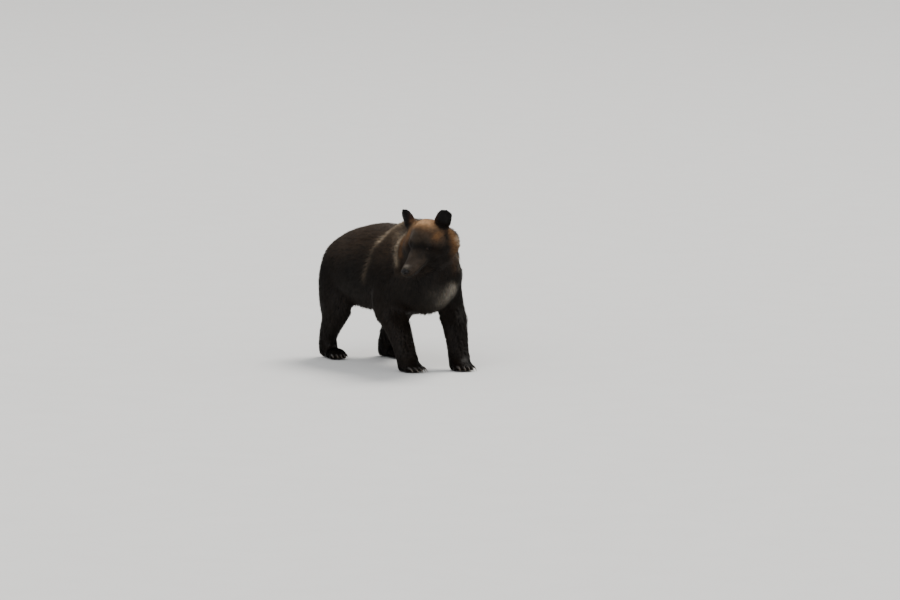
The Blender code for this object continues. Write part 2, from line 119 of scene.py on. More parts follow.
# What place adds to the depth, length and width: the share taken off over the face, the metres added over
# the ruff, the hump, the belly and the muzzle, and the least value.
COAT_CHANGES = (
    (0.45, (0.020, 0.004, 0.0, -0.002), 0.0025),
    (0.42, (0.038, 0.016, 0.004, -0.004), 0.007),
    (0.38, (0.0022, 0.0, 0.0, 0.0), 0.0013),
)

# ---- Colours of the coat, as linear values ----
BLACK = (0.0022, 0.0018, 0.0017)
DARK = (0.0040, 0.0030, 0.0025)
UMBER = (0.0088, 0.0058, 0.0038)
BROWN = (0.0210, 0.0130, 0.0078)
GREY_BROWN = (0.0340, 0.0245, 0.0175)
GREY = (0.0850, 0.0700, 0.0570)
GINGER = (0.1700, 0.0820, 0.0320)
STRAW = (0.4200, 0.2500, 0.1300)
BUFF = (0.2700, 0.2100, 0.1450)
RUST = (0.0480, 0.0170, 0.0085)
GRIZZLE = (0.0900, 0.0620, 0.0380)
PALE_GREY = (0.2300, 0.2050, 0.1680)

# Other colours. The first two run from a claw's root to its tip, and out from an eye's middle.
HORN_TONES = [(0.2, (0.012, 0.010, 0.009)), (0.62, (0.030, 0.023, 0.018)), (1.0, (0.110, 0.082, 0.056))]
EYE_TONES = [(0.125, (0.001, 0.001, 0.001)), (0.150, (0.022, 0.0100, 0.0045)),
             (0.24, (0.015, 0.0070, 0.0034)), (0.29, (0.002, 0.0015, 0.0012)), (0.42, (0.010, 0.006, 0.005))]
FLOOR_TONES = [(0.0, (0.66, 0.655, 0.64)), (1.0, (0.70, 0.695, 0.68))]
NOSE_COLOUR = (0.0046, 0.0039, 0.0037)
RIM_COLOUR = (0.0026, 0.0021, 0.0019)


# ---- Frames ----
def placed(place, *turns):
    """A move to a place, then turns of (degrees, axis), one after the other."""
    made = Matrix.Translation(Vector(place))
    for degrees, axis in turns:
        made = made @ Matrix.Rotation(math.radians(degrees), 4, axis)
    return made


def head_at(place):
    return placed(place, (HEAD_TURN, "Z"), (HEAD_DROP, "Y"))


def ear_at(head, side):
    turns = ((-EAR_REACH_BACK, "Y"), (-side * EAR_SPLAY, "X"), (side * EAR_TURN, "Z"))
    return head @ placed(EAR_PLACES[side], *turns)


def moved(points, matrix):
    """Rows of points carried through a 4 by 4 matrix."""
    matrix = np.array(matrix)
    return points @ matrix[:3, :3].T + matrix[:3, 3]


def turned(vectors, matrix):
    """Rows of directions carried through a matrix, without its move."""
    return vectors @ np.array(matrix)[:3, :3].T


eye_low, eye_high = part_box("eye_left")
SHIFT = (eye_low + eye_high) / 2 - head_at(HEAD_PLACE) @ Vector(EYE_PLACE)
SHIFT.z = 0.0
BEAR = Matrix.Translation(SHIFT)
HEAD = BEAR @ head_at(HEAD_PLACE)
EARS = {"ear_left": ear_at(HEAD, 1), "ear_right": ear_at(HEAD, -1)}


def in_frames(points):
    """Points in the bear's own frame, and in the head's."""
    return moved(points, BEAR.inverted()), moved(points, HEAD.inverted())


def foot_at(name):
    x, y, toe_out = FEET[name]
    return BEAR @ placed((x, y, 0.0), (toe_out, "Z"))


def toe_front(kind, steps):
    """How far ahead the toes reach at so many toes to the side: the middle one's reach less a square."""
    foremost, fall, _, reach = TOES[kind]
    return foremost - fall * (steps / 2) ** 2 + reach


def foot_kind(name):
    return "fore" if "fore" in name else "hind"


def kind_of(name):
    """The limb or organ that a node is, without its side."""
    return name.replace("_left", "").replace("_right", "")


# ---- Small numpy tools ----
def unit(vectors):
    return vectors / np.maximum(np.linalg.norm(vectors, axis=-1, keepdims=True), 1e-12)


def ramp(values, start, end):
    """A smooth step: 0 before start, 1 after end, and 3t^2 - 2t^3 between them."""
    t = np.clip((values - start) / (end - start), 0.0, 1.0)
    return t * t * (3.0 - 2.0 * t)


def blob(points, centre, radii):
    """A soft round patch: e to the minus of the squared distance, measured in radii."""
    away = (points - np.array(centre)) / np.array(radii)
    return np.exp(-(away**2).sum(1))


def along(points, path, width):
    """A soft band: e to the minus of the squared distance from a chain of straight lines, over width."""
    path = np.array(path, float)
    nearest = np.full(len(points), np.inf)
    for start, end in zip(path[:-1], path[1:]):
        run = end - start
        share = np.clip((points - start) @ run / (run @ run), 0.0, 1.0)
        nearest = np.minimum(nearest, ((points - start - share[:, None] * run) ** 2).sum(1))
    return np.exp(-nearest / width**2)


def blend(base, colour, share):
    """The share of a colour laid over base, row by row."""
    share = np.clip(share, 0.0, 1.0)[:, None]
    return base * (1.0 - share) + np.array(colour) * share


def waves(points, size, seed):
    """Smooth noise near -1 to 1: a third of the sum of five sines about size long, in seeded directions."""
    rng = np.random.default_rng(seed)
    total = np.zeros(len(points))
    for _ in range(5):
        pull = unit(rng.normal(size=(1, 3)))[0] * 2.0 * math.pi / size * rng.uniform(0.7, 1.4)
        total += np.sin(points @ pull + rng.uniform(0, 2 * math.pi))
    return total / 3.0


def share_of(shares, *names):
    """How much of each point belongs to some nodes of flesh."""
    return shares[:, [FLESH.index(name) for name in names]].sum(1)


class Surface:
    """A closed surface of triangles, with its neighbours listed once so that values can be evened out."""

    def __init__(self, points, triangles):
        self.points = points
        self.triangles = triangles
        sides = np.concatenate([triangles[:, [0, 1]], triangles[:, [1, 2]], triangles[:, [2, 0]]])
        sides = np.unique(np.sort(sides, axis=1), axis=0)
        both = np.concatenate([sides, sides[:, ::-1]])
        both = both[np.argsort(both[:, 0], kind="stable")]
        self.neighbour = both[:, 1]
        self.first = np.searchsorted(both[:, 0], np.arange(len(points)))
        self.count = np.diff(np.append(self.first, len(both)))[:, None]

    def evened(self, values, rounds, share=0.5):
        """Each round moves every value a share of the way to the mean of its neighbours."""
        flat = values if values.ndim == 2 else values[:, None]
        share = np.broadcast_to(share, (len(flat),))[:, None]
        for _ in range(rounds):
            mean = np.add.reduceat(flat[self.neighbour], self.first, axis=0) / self.count
            flat = flat + share * (mean - flat)
        return flat if values.ndim == 2 else flat[:, 0]

    def face_normals(self):
        """Each triangle's normal, as long as twice its area."""
        a, b, c = (self.points[self.triangles[:, corner]] for corner in range(3))
        return np.cross(b - a, c - a)

    def normals(self):
        """Each point's normal: the sum of the normals of the triangles around it, made unit length."""
        face = self.face_normals()
        total = np.zeros_like(self.points)
        for axis in range(3):
            for corner in range(3):
                total[:, axis] += np.bincount(
                    self.triangles[:, corner], face[:, axis], minlength=len(self.points)
                )
        return unit(total)


def main_part(points, triangles):
    """The largest connected surface: labels spread to the lowest neighbour until nothing changes."""
    label = np.arange(len(points))
    a, b, c = triangles.T
    while True:
        low = np.minimum(np.minimum(label[a], label[b]), label[c])
        new = label.copy()
        for corner in (a, b, c):
            np.minimum.at(new, corner, low)
        new = new[new]
        if np.array_equal(new, label):
            break
        label = new
    kept = label == np.bincount(label).argmax()
    number = np.cumsum(kept) - 1
    return points[kept], number[triangles[kept[a]]]


def arrays_of(mesh):
    """A mesh's points and triangles as arrays."""
    mesh.calc_loop_triangles()
    points = np.empty(len(mesh.vertices) * 3)
    mesh.vertices.foreach_get("co", points)
    triangles = np.empty(len(mesh.loop_triangles) * 3, np.int32)
    mesh.loop_triangles.foreach_get("vertices", triangles)
    return points.reshape(-1, 3), triangles.reshape(-1, 3)


def mesh_of(name, points, triangles, colour=None, maps=None):
    """A smooth mesh of triangles, with a colour for each point and maps of (u, v) for each corner."""
    mesh = bpy.data.meshes.new(name)
    mesh.vertices.add(len(points))
    mesh.vertices.foreach_set("co", np.ascontiguousarray(points, np.float32).ravel())
    mesh.loops.add(3 * len(triangles))
    mesh.loops.foreach_set("vertex_index", np.ascontiguousarray(triangles, np.int32).ravel())
    mesh.polygons.add(len(triangles))
    mesh.polygons.foreach_set("loop_start", np.arange(0, 3 * len(triangles), 3, dtype=np.int32))
    mesh.update(calc_edges=True)
    mesh.shade_smooth()
    for map_name, places in (maps or {}).items():
        layer = mesh.uv_layers.new(name=map_name, do_init=False)
        layer.uv.foreach_set("vector", np.ascontiguousarray(places, np.float32).ravel())
    if colour is not None:
        layer = mesh.color_attributes.new(name="coat_colour", type="FLOAT_COLOR", domain="POINT")
        whole = np.ones((len(points), 4), np.float32)
        whole[:, :3] = colour
        layer.data.foreach_set("color", whole.ravel())
    return mesh


def show(name, mesh, material, slot, *replaced):
    """Puts a finished piece in the scene: it rides on the body and wears the material it is given; the slot
    is not used.
    """
    piece = linked(name, mesh)
    mesh.materials.append(material)
    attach(piece, "root")
    if replaced:
        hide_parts(*replaced)


def linked(name, data):
    """A new object of the scene, at the origin."""
    made = bpy.data.objects.new(name, data)
    bpy.context.scene.collection.objects.link(made)
    return made


# ---- The skin's shape ----
def tree_of(names):
    """A search tree over some nodes' triangles, and the number of the node that owns each triangle."""
    places, faces, owner = [], [], []
    for number, name in enumerate(names):
        points, triangles = arrays_of(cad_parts[name].data)
        faces += (triangles + len(places)).tolist()
        places += points.tolist()
        owner += [number] * len(triangles)
    return BVHTree.FromPolygons(places, faces), owner


def wrapped_flesh():
    """The nodes of flesh, with the eyes to fill their sockets, wrapped in one surface, finer at the face."""
    bm = bmesh.new()
    for name in (*FLESH, "eye_left", "eye_right"):
        bm.from_mesh(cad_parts[name].data)
    bmesh.ops.remove_doubles(bm, verts=bm.verts, dist=1e-5)
    mesh = bpy.data.meshes.new("flesh")
    bm.to_mesh(mesh)
    bm.free()
    holder = linked("flesh", mesh)
    wrap = holder.modifiers.new("wrap", "REMESH")
    wrap.mode = "VOXEL"
    wrap.voxel_size = SKIN_CELL
    graph = bpy.context.evaluated_depsgraph_get()
    wrapped = bpy.data.meshes.new_from_object(holder.evaluated_get(graph), depsgraph=graph)
    bpy.data.objects.remove(holder)
    bm = bmesh.new()
    bm.from_mesh(wrapped)
    head_tree, _ = tree_of(["head", "lower_jaw", "nose", "ear_left", "ear_right"])
    for back in (*FINER_FROM, None):
        bm.verts.ensure_lookup_table()
        places = np.array([v.co for v in bm.verts])
        local = moved(places, HEAD.inverted())
        if back is None:
            inside = np.minimum(*(eye_distance(local, side) for side in (1, -1))) < EYE_FINER
        else:
            inside = local[:, 0] > back
            for index in np.flatnonzero(inside):
                inside[index] = head_tree.find_nearest(Vector(places[index]), ON_HEAD)[0] is not None
        edges = [e for e in bm.edges if inside[e.verts[0].index] and inside[e.verts[1].index]]
        bmesh.ops.subdivide_edges(bm, edges=edges, cuts=1, use_grid_fill=True)
        bm.verts.index_update()
    bmesh.ops.triangulate(bm, faces=bm.faces)
    bm.to_mesh(wrapped)
    bm.free()
    return Surface(*main_part(*arrays_of(wrapped)))


def eye_centre(side):
    x, y, z = EYE_PLACE
    return np.array([x, side * y, z])


def eye_distance(local, side):
    """How far points are from the middle of one eye, all in the head's frame."""
    return np.linalg.norm(local - eye_centre(side), axis=1)


def node_shares(skin):
    """How much of each skin point belongs to each node of flesh: 1 to the nearest, 0 to the others."""
    tree, owner = tree_of(FLESH)
    nearest = [owner[tree.find_nearest(p)[2]] for p in skin.points]
    shares = np.zeros((len(skin.points), len(FLESH)))
    shares[np.arange(len(nearest)), nearest] = 1.0
    return shares


def face_share(local):
    """1 over the muzzle and around the eyes, falling to 0 at the crown and cheeks. In the head's frame."""
    return ramp(local[:, 0] - 0.25 * np.abs(local[:, 1]), 0.005, 0.085)


def coat_fields(skin, shares):
    """The coat's depth and its locks' length and width: the nodes' own, mixed, then changed by place."""
    bear, local = in_frames(skin.points)
    head = share_of(shares, "head")
    face = face_share(local) * head
    ruff = blob(local, (-0.060, 0.0, -0.075), (0.080, 0.32, 0.130)) * head * (1.0 - face)
    hump = blob(bear, (0.23, 0.0, 1.02), (0.20, 0.20, 0.14))
    belly = ramp(-bear[:, 2], -0.52, -0.38) * share_of(shares, "trunk")
    muzzle = ramp(local[:, 0], 0.12, 0.18) * head
    fields = []
    for number, (less, more, least) in enumerate(COAT_CHANGES):
        field = shares @ np.array([COAT[kind_of(name)][number] for name in FLESH]) * (1 - less * face)
        for metres, part in zip(more, (ruff, hump, belly, muzzle)):
            field = field + metres * part
        fields.append(np.maximum(field, least))
    return fields


def inset(skin, depth, firm):
    """Moves the surface inwards by the coat's depth in small steps, each followed by a light evening."""
    for _ in range(INSET_STEPS):
        skin.points = skin.points - skin.normals() * (depth / INSET_STEPS)[:, None]
        skin.points = skin.evened(skin.points, 1, 0.40 - 0.28 * firm)


def gap_to_solids(skin):
    """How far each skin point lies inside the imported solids' outer surface."""
    tree, _ = tree_of(FLESH)
    return np.array([tree.find_nearest(Vector(point))[3] for point in skin.points])


def without_claws(skin, shares):
    """Shrinks what the claws left in the wrapped paws: points ahead of the toes are evened until they go."""
    for name in FEET:
        kind = foot_kind(name)
        local = moved(skin.points, foot_at(name).inverted())
        front = toe_front(kind, local[:, 1] / TOES[kind][2])
        own = share_of(shares, name)
        ahead = ramp(local[:, 0], front - 0.012, front - 0.004) * (own > 0.5)
        skin.points = skin.evened(skin.points, 60, ahead * 0.9)


def lids(skin):
    """Draws the skin in to each eye, along its gaze. From 0.75 to 1.3 eye radii out it is the lid: a ball of
    1.10 radii, then a shelf 0.5 high. Further out it blends into the face. In the opening it sinks behind."""
    for side in (1, -1):
        local = moved(skin.points, HEAD.inverted())
        gaze = eye_axes(side)[1]
        height, across, opening = by_eye(local, side)
        lid = np.sqrt(np.maximum(1.10**2 - across**2, 0.5**2))
        behind = np.sqrt(np.maximum(0.86**2 - across**2, 0.0))
        shape = behind + (lid - behind) * ramp(opening, 0.90, 1.25)
        share = (1 - ramp(across, 1.35, LID_REACH[side])) * (np.abs(height) < 3.4)
        skin.points = skin.points + turned(((shape - height) * share * EYE_RADIUS)[:, None] * gaze, HEAD)


def by_eye(local, side):
    """Where points lie by an eye, in its radii: how far along the gaze, how far from that line, and that
    distance as a share of the opening's edge on the same side."""
    centre, gaze, long, short = eye_axes(side)
    away = (local - centre) / EYE_RADIUS
    wide, tall = away @ long, away @ short
    across = np.hypot(wide, tall)
    return away @ gaze, across, across / np.maximum(eye_edge(np.arctan2(tall, wide)), 1e-6)


def sculpt_face(skin):
    """Raises the brows, a fold under each eye and the muzzle's root, and presses in the line of the mouth."""
    local = moved(skin.points, HEAD.inverted())
    normal = skin.normals()
    x, y, z = EYE_PLACE
    forms = (
        (0.0038, x + 0.004, y - 0.006, z + 0.030, (0.028, 0.024, 0.010)),
        (0.0020, x + 0.010, y + 0.002, z - 0.027, (0.024, 0.022, 0.008)),
        (0.0075, 0.170, 0.060, -0.018, (0.042, 0.030, 0.026)),
    )
    away = np.zeros(len(local))
    for side in (1, -1):
        for rise, ahead, beside, above, radii in forms:
            away += rise * blob(local, (ahead, side * beside, above), radii)
    off_line = (local[:, 2] - mouth_height(local[:, 0])) / 0.0050
    on_line = np.exp(-(off_line**2)) * ramp(local[:, 0], 0.115, 0.150)
    away -= 0.0040 * on_line * ramp(-local[:, 2], 0.04, 0.06)
    skin.points = skin.points + normal * away[:, None]
    lids(skin)


def mouth_height(x):
    """The height of the closed mouth at a distance along the head: a straight line, rising to the front."""
    return -0.0780 + (x - 0.29) * MOUTH_SLOPE


# ---- The lie of the coat, and its markings with painted shade and highlights ----
def lie_of_coat(skin, shares):
    """The direction that the coat lies in at each skin point: the nodes' own lies, laid flat and evened."""
    bear, local = in_frames(skin.points)
    lie = np.zeros_like(skin.points)
    for number, name in enumerate(FLESH):
        way = np.tile(np.array(COAT[kind_of(name)][3]), (len(lie), 1))
        if name in HEAD_NODES:
            behind = ramp(-local[:, 0], -0.06, 0.03)
            way[:, 1] += np.sign(local[:, 1]) * (0.25 * ramp(np.abs(local[:, 1]), 0.02, 0.08))
            way[:, 2] -= (0.55 * behind + 0.15) * ramp(-local[:, 2], -0.03, 0.06)
            for side in (1, -1):
                out = unit(local - eye_centre(side))
                near = np.exp(-((eye_distance(local, side) / 0.026) ** 2))[:, None]
                way += out * near * (0.55 - np.minimum((way * out).sum(1, keepdims=True), 0))
            way = turned(way, HEAD)
        elif name in EARS:
            way = turned(way, EARS[name])
        elif name in FEET:
            way = turned(way, foot_at(name))
        elif name == "trunk":
            low = ramp(-bear[:, 2], -0.86, -0.52)
            way[:, 2] -= 0.75 * low
            way[:, 0] += 0.30 * low
            chest = ramp(bear[:, 0], 0.34, 0.50)
            way[:, 0] += 0.9 * chest
            way[:, 2] -= 0.9 * chest
        lie += way * shares[:, number : number + 1]
    normal = skin.normals()
    for _ in range(4):
        lie = skin.evened(flattened(lie, normal), 6)
    return flattened(lie, normal)


def flattened(vectors, normal):
    """Directions with their part along the normal taken out, made unit length."""
    return unit(vectors - (vectors * normal).sum(1, keepdims=True) * normal)


# Bands of colour, as chains of points near the coat's outer surface. The shoulder's is in the bear's frame.
SHOULDER_BAND = [(0.206, 0.079, 1.008), (0.151, 0.127, 0.970), (0.115, 0.170, 0.925), (0.086, 0.209, 0.886),
                 (0.060, 0.250, 0.823), (0.032, 0.289, 0.698), (-0.010, 0.289, 0.597)]
# The others lie in the head's frame. The head is turned, so each side of the neck has its own.
RUFF_LEFT = [(-0.080, 0.172, -0.060), (-0.085, 0.160, -0.125), (-0.096, 0.102, -0.215),
             (-0.094, 0.078, -0.275), (-0.088, 0.050, -0.345)]
RUFF_RIGHT = [(-0.050, -0.240, 0.000), (0.010, -0.264, -0.028), (0.065, -0.285, -0.056),
              (0.125, -0.262, -0.093), (0.158, -0.232, -0.117)]
CHEEK_BAND = [(-0.070, 0.160, 0.030), (-0.060, 0.168, -0.050), (-0.050, 0.155, -0.120),
              (-0.045, 0.110, -0.210), (-0.035, 0.080, -0.300)]
NECK_GINGER = [(-0.030, -0.210, 0.020), (0.010, -0.225, -0.010), (0.070, -0.220, -0.040),
               (0.110, -0.200, -0.065)]
EAR_STREAK = [(-0.036, 0.150, 0.060), (-0.034, 0.157, 0.027), (-0.012, 0.162, 0.004)]
MASK = [(0.118, 0.050, 0.020), (0.094, 0.092, -0.015), (0.080, 0.110, -0.070), (0.070, 0.100, -0.135),
        (0.045, 0.112, -0.180), (0.075, 0.080, -0.250)]
BROW_BAND = [(0.134, 0.0, 0.036), (0.122, 0.040, 0.030), (0.098, 0.082, 0.006)]

# Patches of colour, laid one over another: colour, share, how much the mottling adds to it, whether both
# sides have it, middle and radii. The body's are in the bear's frame, the others in the head's. Not all are
# the fur's own colour: the rump's grey-brown is a painted sheen, and the muzzle's are painted shade and
# highlights.
BODY_PATCHES_AND_SHEEN = (
    (BLACK, 0.80, 0.0, True, (-0.18, 0.30, 0.65), (0.18, 0.16, 0.12)),
    (GRIZZLE, 0.25, 1.0, False, (0.20, 0.0, 1.02), (0.26, 0.24, 0.10)),
    (GRIZZLE, 0.42, 0.5, True, (0.170, 0.145, 0.965), (0.085, 0.085, 0.055)),
    # Painted sheen: paler grey-brown along the top of the rump on both sides, where light falls on wet fur.
    (GREY_BROWN, 0.42, 0.0, True, (-0.44, 0.25, 0.79), (0.24, 0.13, 0.09)),
    (BUFF, 0.38, 0.0, False, (0.298, -0.172, 0.931), (0.050, 0.060, 0.045)),
)
CROWN_PATCHES = (
    (STRAW, 0.95, 0.0, True, (-0.032, 0.0, 0.118), (0.038, 0.120, 0.048)),
    (GINGER, 0.45, 0.0, False, (0.060, -0.132, 0.020), (0.050, 0.034, 0.034)),
    (GREY_BROWN, 0.95, 0.0, False, (0.078, -0.035, 0.086), (0.048, 0.092, 0.050)),
    (GREY, 0.50, 0.0, False, (0.060, -0.065, 0.084), (0.040, 0.050, 0.034)),
)
MUZZLE_SHADE_AND_HIGHLIGHTS = (
    # Painted shadow of the brow: the muzzle's root darker on the head's left side.
    (DARK, 0.70, 0.0, False, (0.168, 0.050, -0.006), (0.034, 0.030, 0.034)),
    # Painted light: the muzzle paler on the head's right side, where light falls.
    (GREY, 0.35, 0.0, False, (0.185, -0.038, 0.000), (0.050, 0.024, 0.030)),
    # Painted wet highlight: grey on the bridge just above the nose pad, palest in its middle (next row).
    (GREY, 1.00, 0.0, True, (0.286, 0.006, -0.010), (0.024, 0.026, 0.016)),
    (PALE_GREY, 0.40, 0.0, True, (0.288, 0.006, -0.008), (0.016, 0.022, 0.012)),
)
# The pale patch on the chest, as three that add up: share, middle and radii.
CHEST_PATCHES = (
    (1.10, (0.562, 0.100, 0.583), (0.12, 0.042, 0.036)),
    (0.56, (0.548, 0.066, 0.512), (0.12, 0.064, 0.056)),
    (0.10, (0.565, -0.035, 0.530), (0.12, 0.060, 0.060)),
)


def patched(base, points, mirrored, mottle, patches):
    """A colour with the patches of a table laid over it, row by row."""
    for colour, share, mottled, both, centre, radii in patches:
        spot = blob(mirrored if both else points, centre, radii)
        base = blend(base, colour, share * spot * (1 + mottled * mottle))
    return base


def markings_and_painted_light(points, shares):
    """The coat's colour at each point, with painted shade and highlights on the face, muzzle and rump, and
    how light its tips turn.
    """
    bear, local = in_frames(points)
    mirrored, sided = bear.copy(), local.copy()
    mirrored[:, 1], sided[:, 1] = np.abs(bear[:, 1]), np.abs(local[:, 1])
    head = share_of(shares, "head", "nose")[:, None]
    jaw = share_of(shares, "lower_jaw")[:, None]
    ears = share_of(shares, *EARS)
    rest = np.clip(1.0 - head - jaw - ears[:, None], 0, 1)
    total = rest + head + jaw + 1e-6
    mottle = waves(points, 0.16, 11) * 0.5 + waves(points, 0.06, 12) * 0.35
    plain = np.ones((len(points), 1))

    # The body: darker below and behind, with a pale band behind each shoulder.
    high = ramp(bear[:, 2] + 0.03 * mottle, 0.66, 0.96)
    band = along(mirrored, SHOULDER_BAND, 0.020) * (0.25 + 0.75 * ramp(bear[:, 2], 0.78, 0.96))
    band = np.maximum(band, along(mirrored, SHOULDER_BAND[:4], 0.034)) * (0.8 + 0.5 * mottle)
    chest = sum(share * blob(bear, centre, radii) for share, centre, radii in CHEST_PATCHES)
    body = blend(plain * UMBER, BROWN, high)
    shaded = 0.80 + 0.20 * ramp(bear[:, 0], 0.40, 0.50) - 0.36 * ramp(-bear[:, 2], -0.54, -0.40)
    body = blend(body, DARK, shaded * ramp(-bear[:, 2] + 0.04 * mottle, -0.84, -0.62))
    body = blend(body, DARK, 0.65 * ramp(-bear[:, 0], 0.30, 0.62) * (1 - 0.75 * high))
    # Patches of fur colour, and the painted sheen along the top of the rump.
    body = patched(body, bear, mirrored, mottle, BODY_PATCHES_AND_SHEEN)
    body = blend(body, BUFF, 0.68 * band)
    body = blend(body, PALE_GREY, chest * (0.85 + 0.7 * mottle))

    # The head: a golden crown round a dark face, whose darkness below the brow is partly painted shade, and a
    # grey muzzle with painted shade and highlights over it.
    # Darker below the brow: dark fur, and partly painted shade of a face lit from behind.
    dark_face_and_brow_shade = ramp(-local[:, 2], -0.02, 0.05) * (1 - ramp(local[:, 0], 0.13, 0.18))
    face = blend(plain * GREY_BROWN, DARK, dark_face_and_brow_shade)
    crown = blob(sided, (-0.045, 0.0, 0.118), (0.078, 0.130, 0.062))
    gold = blob(sided, (0.022, 0.126, 0.046), (0.042, 0.036, 0.034))
    face = blend(face, GINGER, np.maximum(1.15 * crown, 0.78 * gold))
    face = patched(face, local, sided, mottle, CROWN_PATCHES)
    face = blend(face, GREY_BROWN, ramp(local[:, 0], 0.140, 0.175))
    face = blend(face, UMBER, 0.75 * ramp(-local[:, 2], 0.045, 0.075) * ramp(local[:, 0], 0.10, 0.16))
    # Painted shade and highlights over the muzzle: the brow's shadow, a lit side and a wet highlight above
    # the nose.
    face = patched(face, local, sided, mottle, MUZZLE_SHADE_AND_HIGHLIGHTS)

    # The ears: black to their bases, with a rusty inner edge.
    ear = plain * BLACK * 1.1
    on_ear = np.clip(ears, 0, 1)
    for place, side in zip(EARS.values(), (1, -1)):
        own = moved(points, place.inverted())
        ear = blend(ear, RUST, 0.80 * blob(own, (0.0, -side * 0.066, 0.035), (0.05, 0.022, 0.046)))
        base = np.exp(-((own[:, 0] / 0.060) ** 4) - ((own[:, 1] + side * 0.004) / 0.072) ** 4)
        on_ear = np.maximum(on_ear, base * ramp(own[:, 2] + side * own[:, 1] * 0.25, -0.016, 0.006))
    off_ears = 1 - on_ear
    colour = (body * rest + face * head + np.array(UMBER) * jaw) / total
    colour = colour * (1 - on_ear[:, None]) + ear * on_ear[:, None]

    # Bands over all of them: ginger cheeks and nape, the dark mask and its streaks, the cream ruff.
    cheek = along(sided, CHEEK_BAND, 0.040) * (1 - 0.80 * ramp(-local[:, 2], 0.06, 0.22))
    nape = along(local, NECK_GINGER, 0.034) * (1.10 - 0.80 * ramp(-local[:, 2], -0.01, 0.045))
    ginger = np.maximum(cheek, nape)
    cheeks = along(sided, MASK, 0.046)
    streaks = np.maximum(along(sided, BROW_BAND, 0.027), 0.95 * along(sided, EAR_STREAK, 0.022))
    pale_left = 0.70 * along(local, RUFF_LEFT, 0.021)
    pale_right = along(local, RUFF_RIGHT, 0.024) * (1 - 0.55 * ramp(local[:, 0], 0.10, 0.16))
    cream = np.maximum(pale_left, pale_right) * (0.85 + 0.6 * mottle)
    colour = blend(colour, GINGER, 0.85 * ginger * off_ears * (0.80 + 0.5 * mottle))
    colour = blend(colour, UMBER, 0.85 * cheeks * off_ears)
    colour = blend(colour, BLACK, np.maximum(0.15 * cheeks, 0.88 * streaks) * off_ears)
    colour = blend(colour, BUFF, 0.88 * cream * off_ears)

    light = 0.08 + 0.20 * high * (rest / total)[:, 0] + 0.20 * crown
    light = light + 0.30 * band + 0.4 * cream + 0.25 * ginger
    light = light * (1 - 0.85 * (1 - off_ears)) * (1 - 0.9 * np.maximum(0.7 * cheeks, streaks))
    return np.clip(colour, 0.0015, 0.9), np.clip(light, 0.0, 0.8)


def side_charts(skin, labels):
    """An unwrap of the skin's own shape: each node's faces go to the side they look to, laid out in rows."""
    face = skin.face_normals()
    side = np.abs(face).argmax(1)
    side = side * 2 + (np.take_along_axis(face, side[:, None], 1)[:, 0] > 0)
    chart = labels[skin.triangles[:, 0]] * 6 + side
    axes = np.array([(1, 2), (0, 2), (0, 1)])[side // 2]
    corner = skin.points[skin.triangles]
    flat = np.stack([np.take_along_axis(corner, axes[:, None, i : i + 1], 2)[..., 0] for i in (0, 1)], -1)
    numbers = np.unique(chart)
    low = np.array([flat[chart == n].min((0, 1)) for n in numbers])
    size = np.array([flat[chart == n].max((0, 1)) for n in numbers]) - low
    order = np.argsort(-size[:, 1])
    margin = CHART_MARGIN
    scale = 1.0
    while True:
        spot = np.zeros_like(low)
        at = np.array([margin, margin])
        row = 0.0
        for n in order:
            box = size[n] * scale + margin
            if at[0] + box[0] > 1.0:
                at = np.array([margin, at[1] + row])
                row = 0.0
            spot[n] = at
            at[0] += box[0]
            row = max(row, box[1])
        if at[1] + row <= 1.0:
            break
        scale *= CHART_SHRINK
    which = np.searchsorted(numbers, chart)
    return (flat - low[which][:, None]) * scale + spot[which][:, None]


# ---- Locks of hair ----
LOCK_ROWS = (0.0, 0.30, 0.70, 1.0)
LOCK_WIDTHS = (0.0, 1.0, 0.66, 0.0)
# A keeled lock is a root, two rows of left edge, ridge and right edge, and a tip. A flat one has no ridge.
KEELED = np.array([(0, 2, 1), (0, 3, 2), (1, 2, 5), (1, 5, 4), (2, 3, 6), (2, 6, 5), (4, 5, 7), (5, 6, 7)])
FLAT = np.array([(0, 2, 1), (1, 2, 4), (1, 4, 3), (3, 4, 5)])
CELL_KEYS = np.array([73856093, 19349663, 83492791])  # large primes, so that each cell gets its own key
CELL_BEND = 0.35  # how far waves bend the cells, as a share of their size
RIDGE = 0.30  # a keel's height, as a share of the lock's width
MAP_PATCH = 0.003  # the side of a lock's patch in the baked map
# How far locks turn from the lie, in radians: in waves that they share, and each by itself.
SWERVE_TOGETHER, SWERVE_ALONE = 0.16, 0.20
# The least and the most of what each lock draws for itself: factors on its length, width and pale tip, and
# how far its tip is pulled to its clump. Keeled and flat locks differ in their most height and their root.
LENGTHS, WIDTHS, LIGHTS, PULLS = (0.72, 1.18), (0.45, 0.95), (0.2, 1.8), (0.15, 0.75)
LEAST_HEIGHT, MOST_HEIGHT = 0.50, {True: 1.20, False: 1.05}
ROOT_DEPTH = {True: 0.0015, False: 0.0006}
HANG = 0.32  # how far a tip under the belly may hang, as a share of its length
TONE_SPREAD, WARMTH_SPREAD = 0.22, 0.06
TIP_HEIGHT = 0.001  # no tip is nearer the floor


def scatter(skin, weights, count, rng):
    """Places on the skin, spread in step with the weights: every triangle gets its share of the count."""
    area = np.linalg.norm(skin.face_normals(), axis=1) / 2 * weights
    total = np.cumsum(area)
    marks = (np.arange(count) + rng.random(count)) / count * total[-1]
    triangle = np.minimum(np.searchsorted(total, marks), len(area) - 1)
    a, b = rng.random((2, count))
    fold = a + b > 1
    a[fold], b[fold] = 1 - a[fold], 1 - b[fold]
    return triangle, np.stack([1 - a - b, a, b], 1)


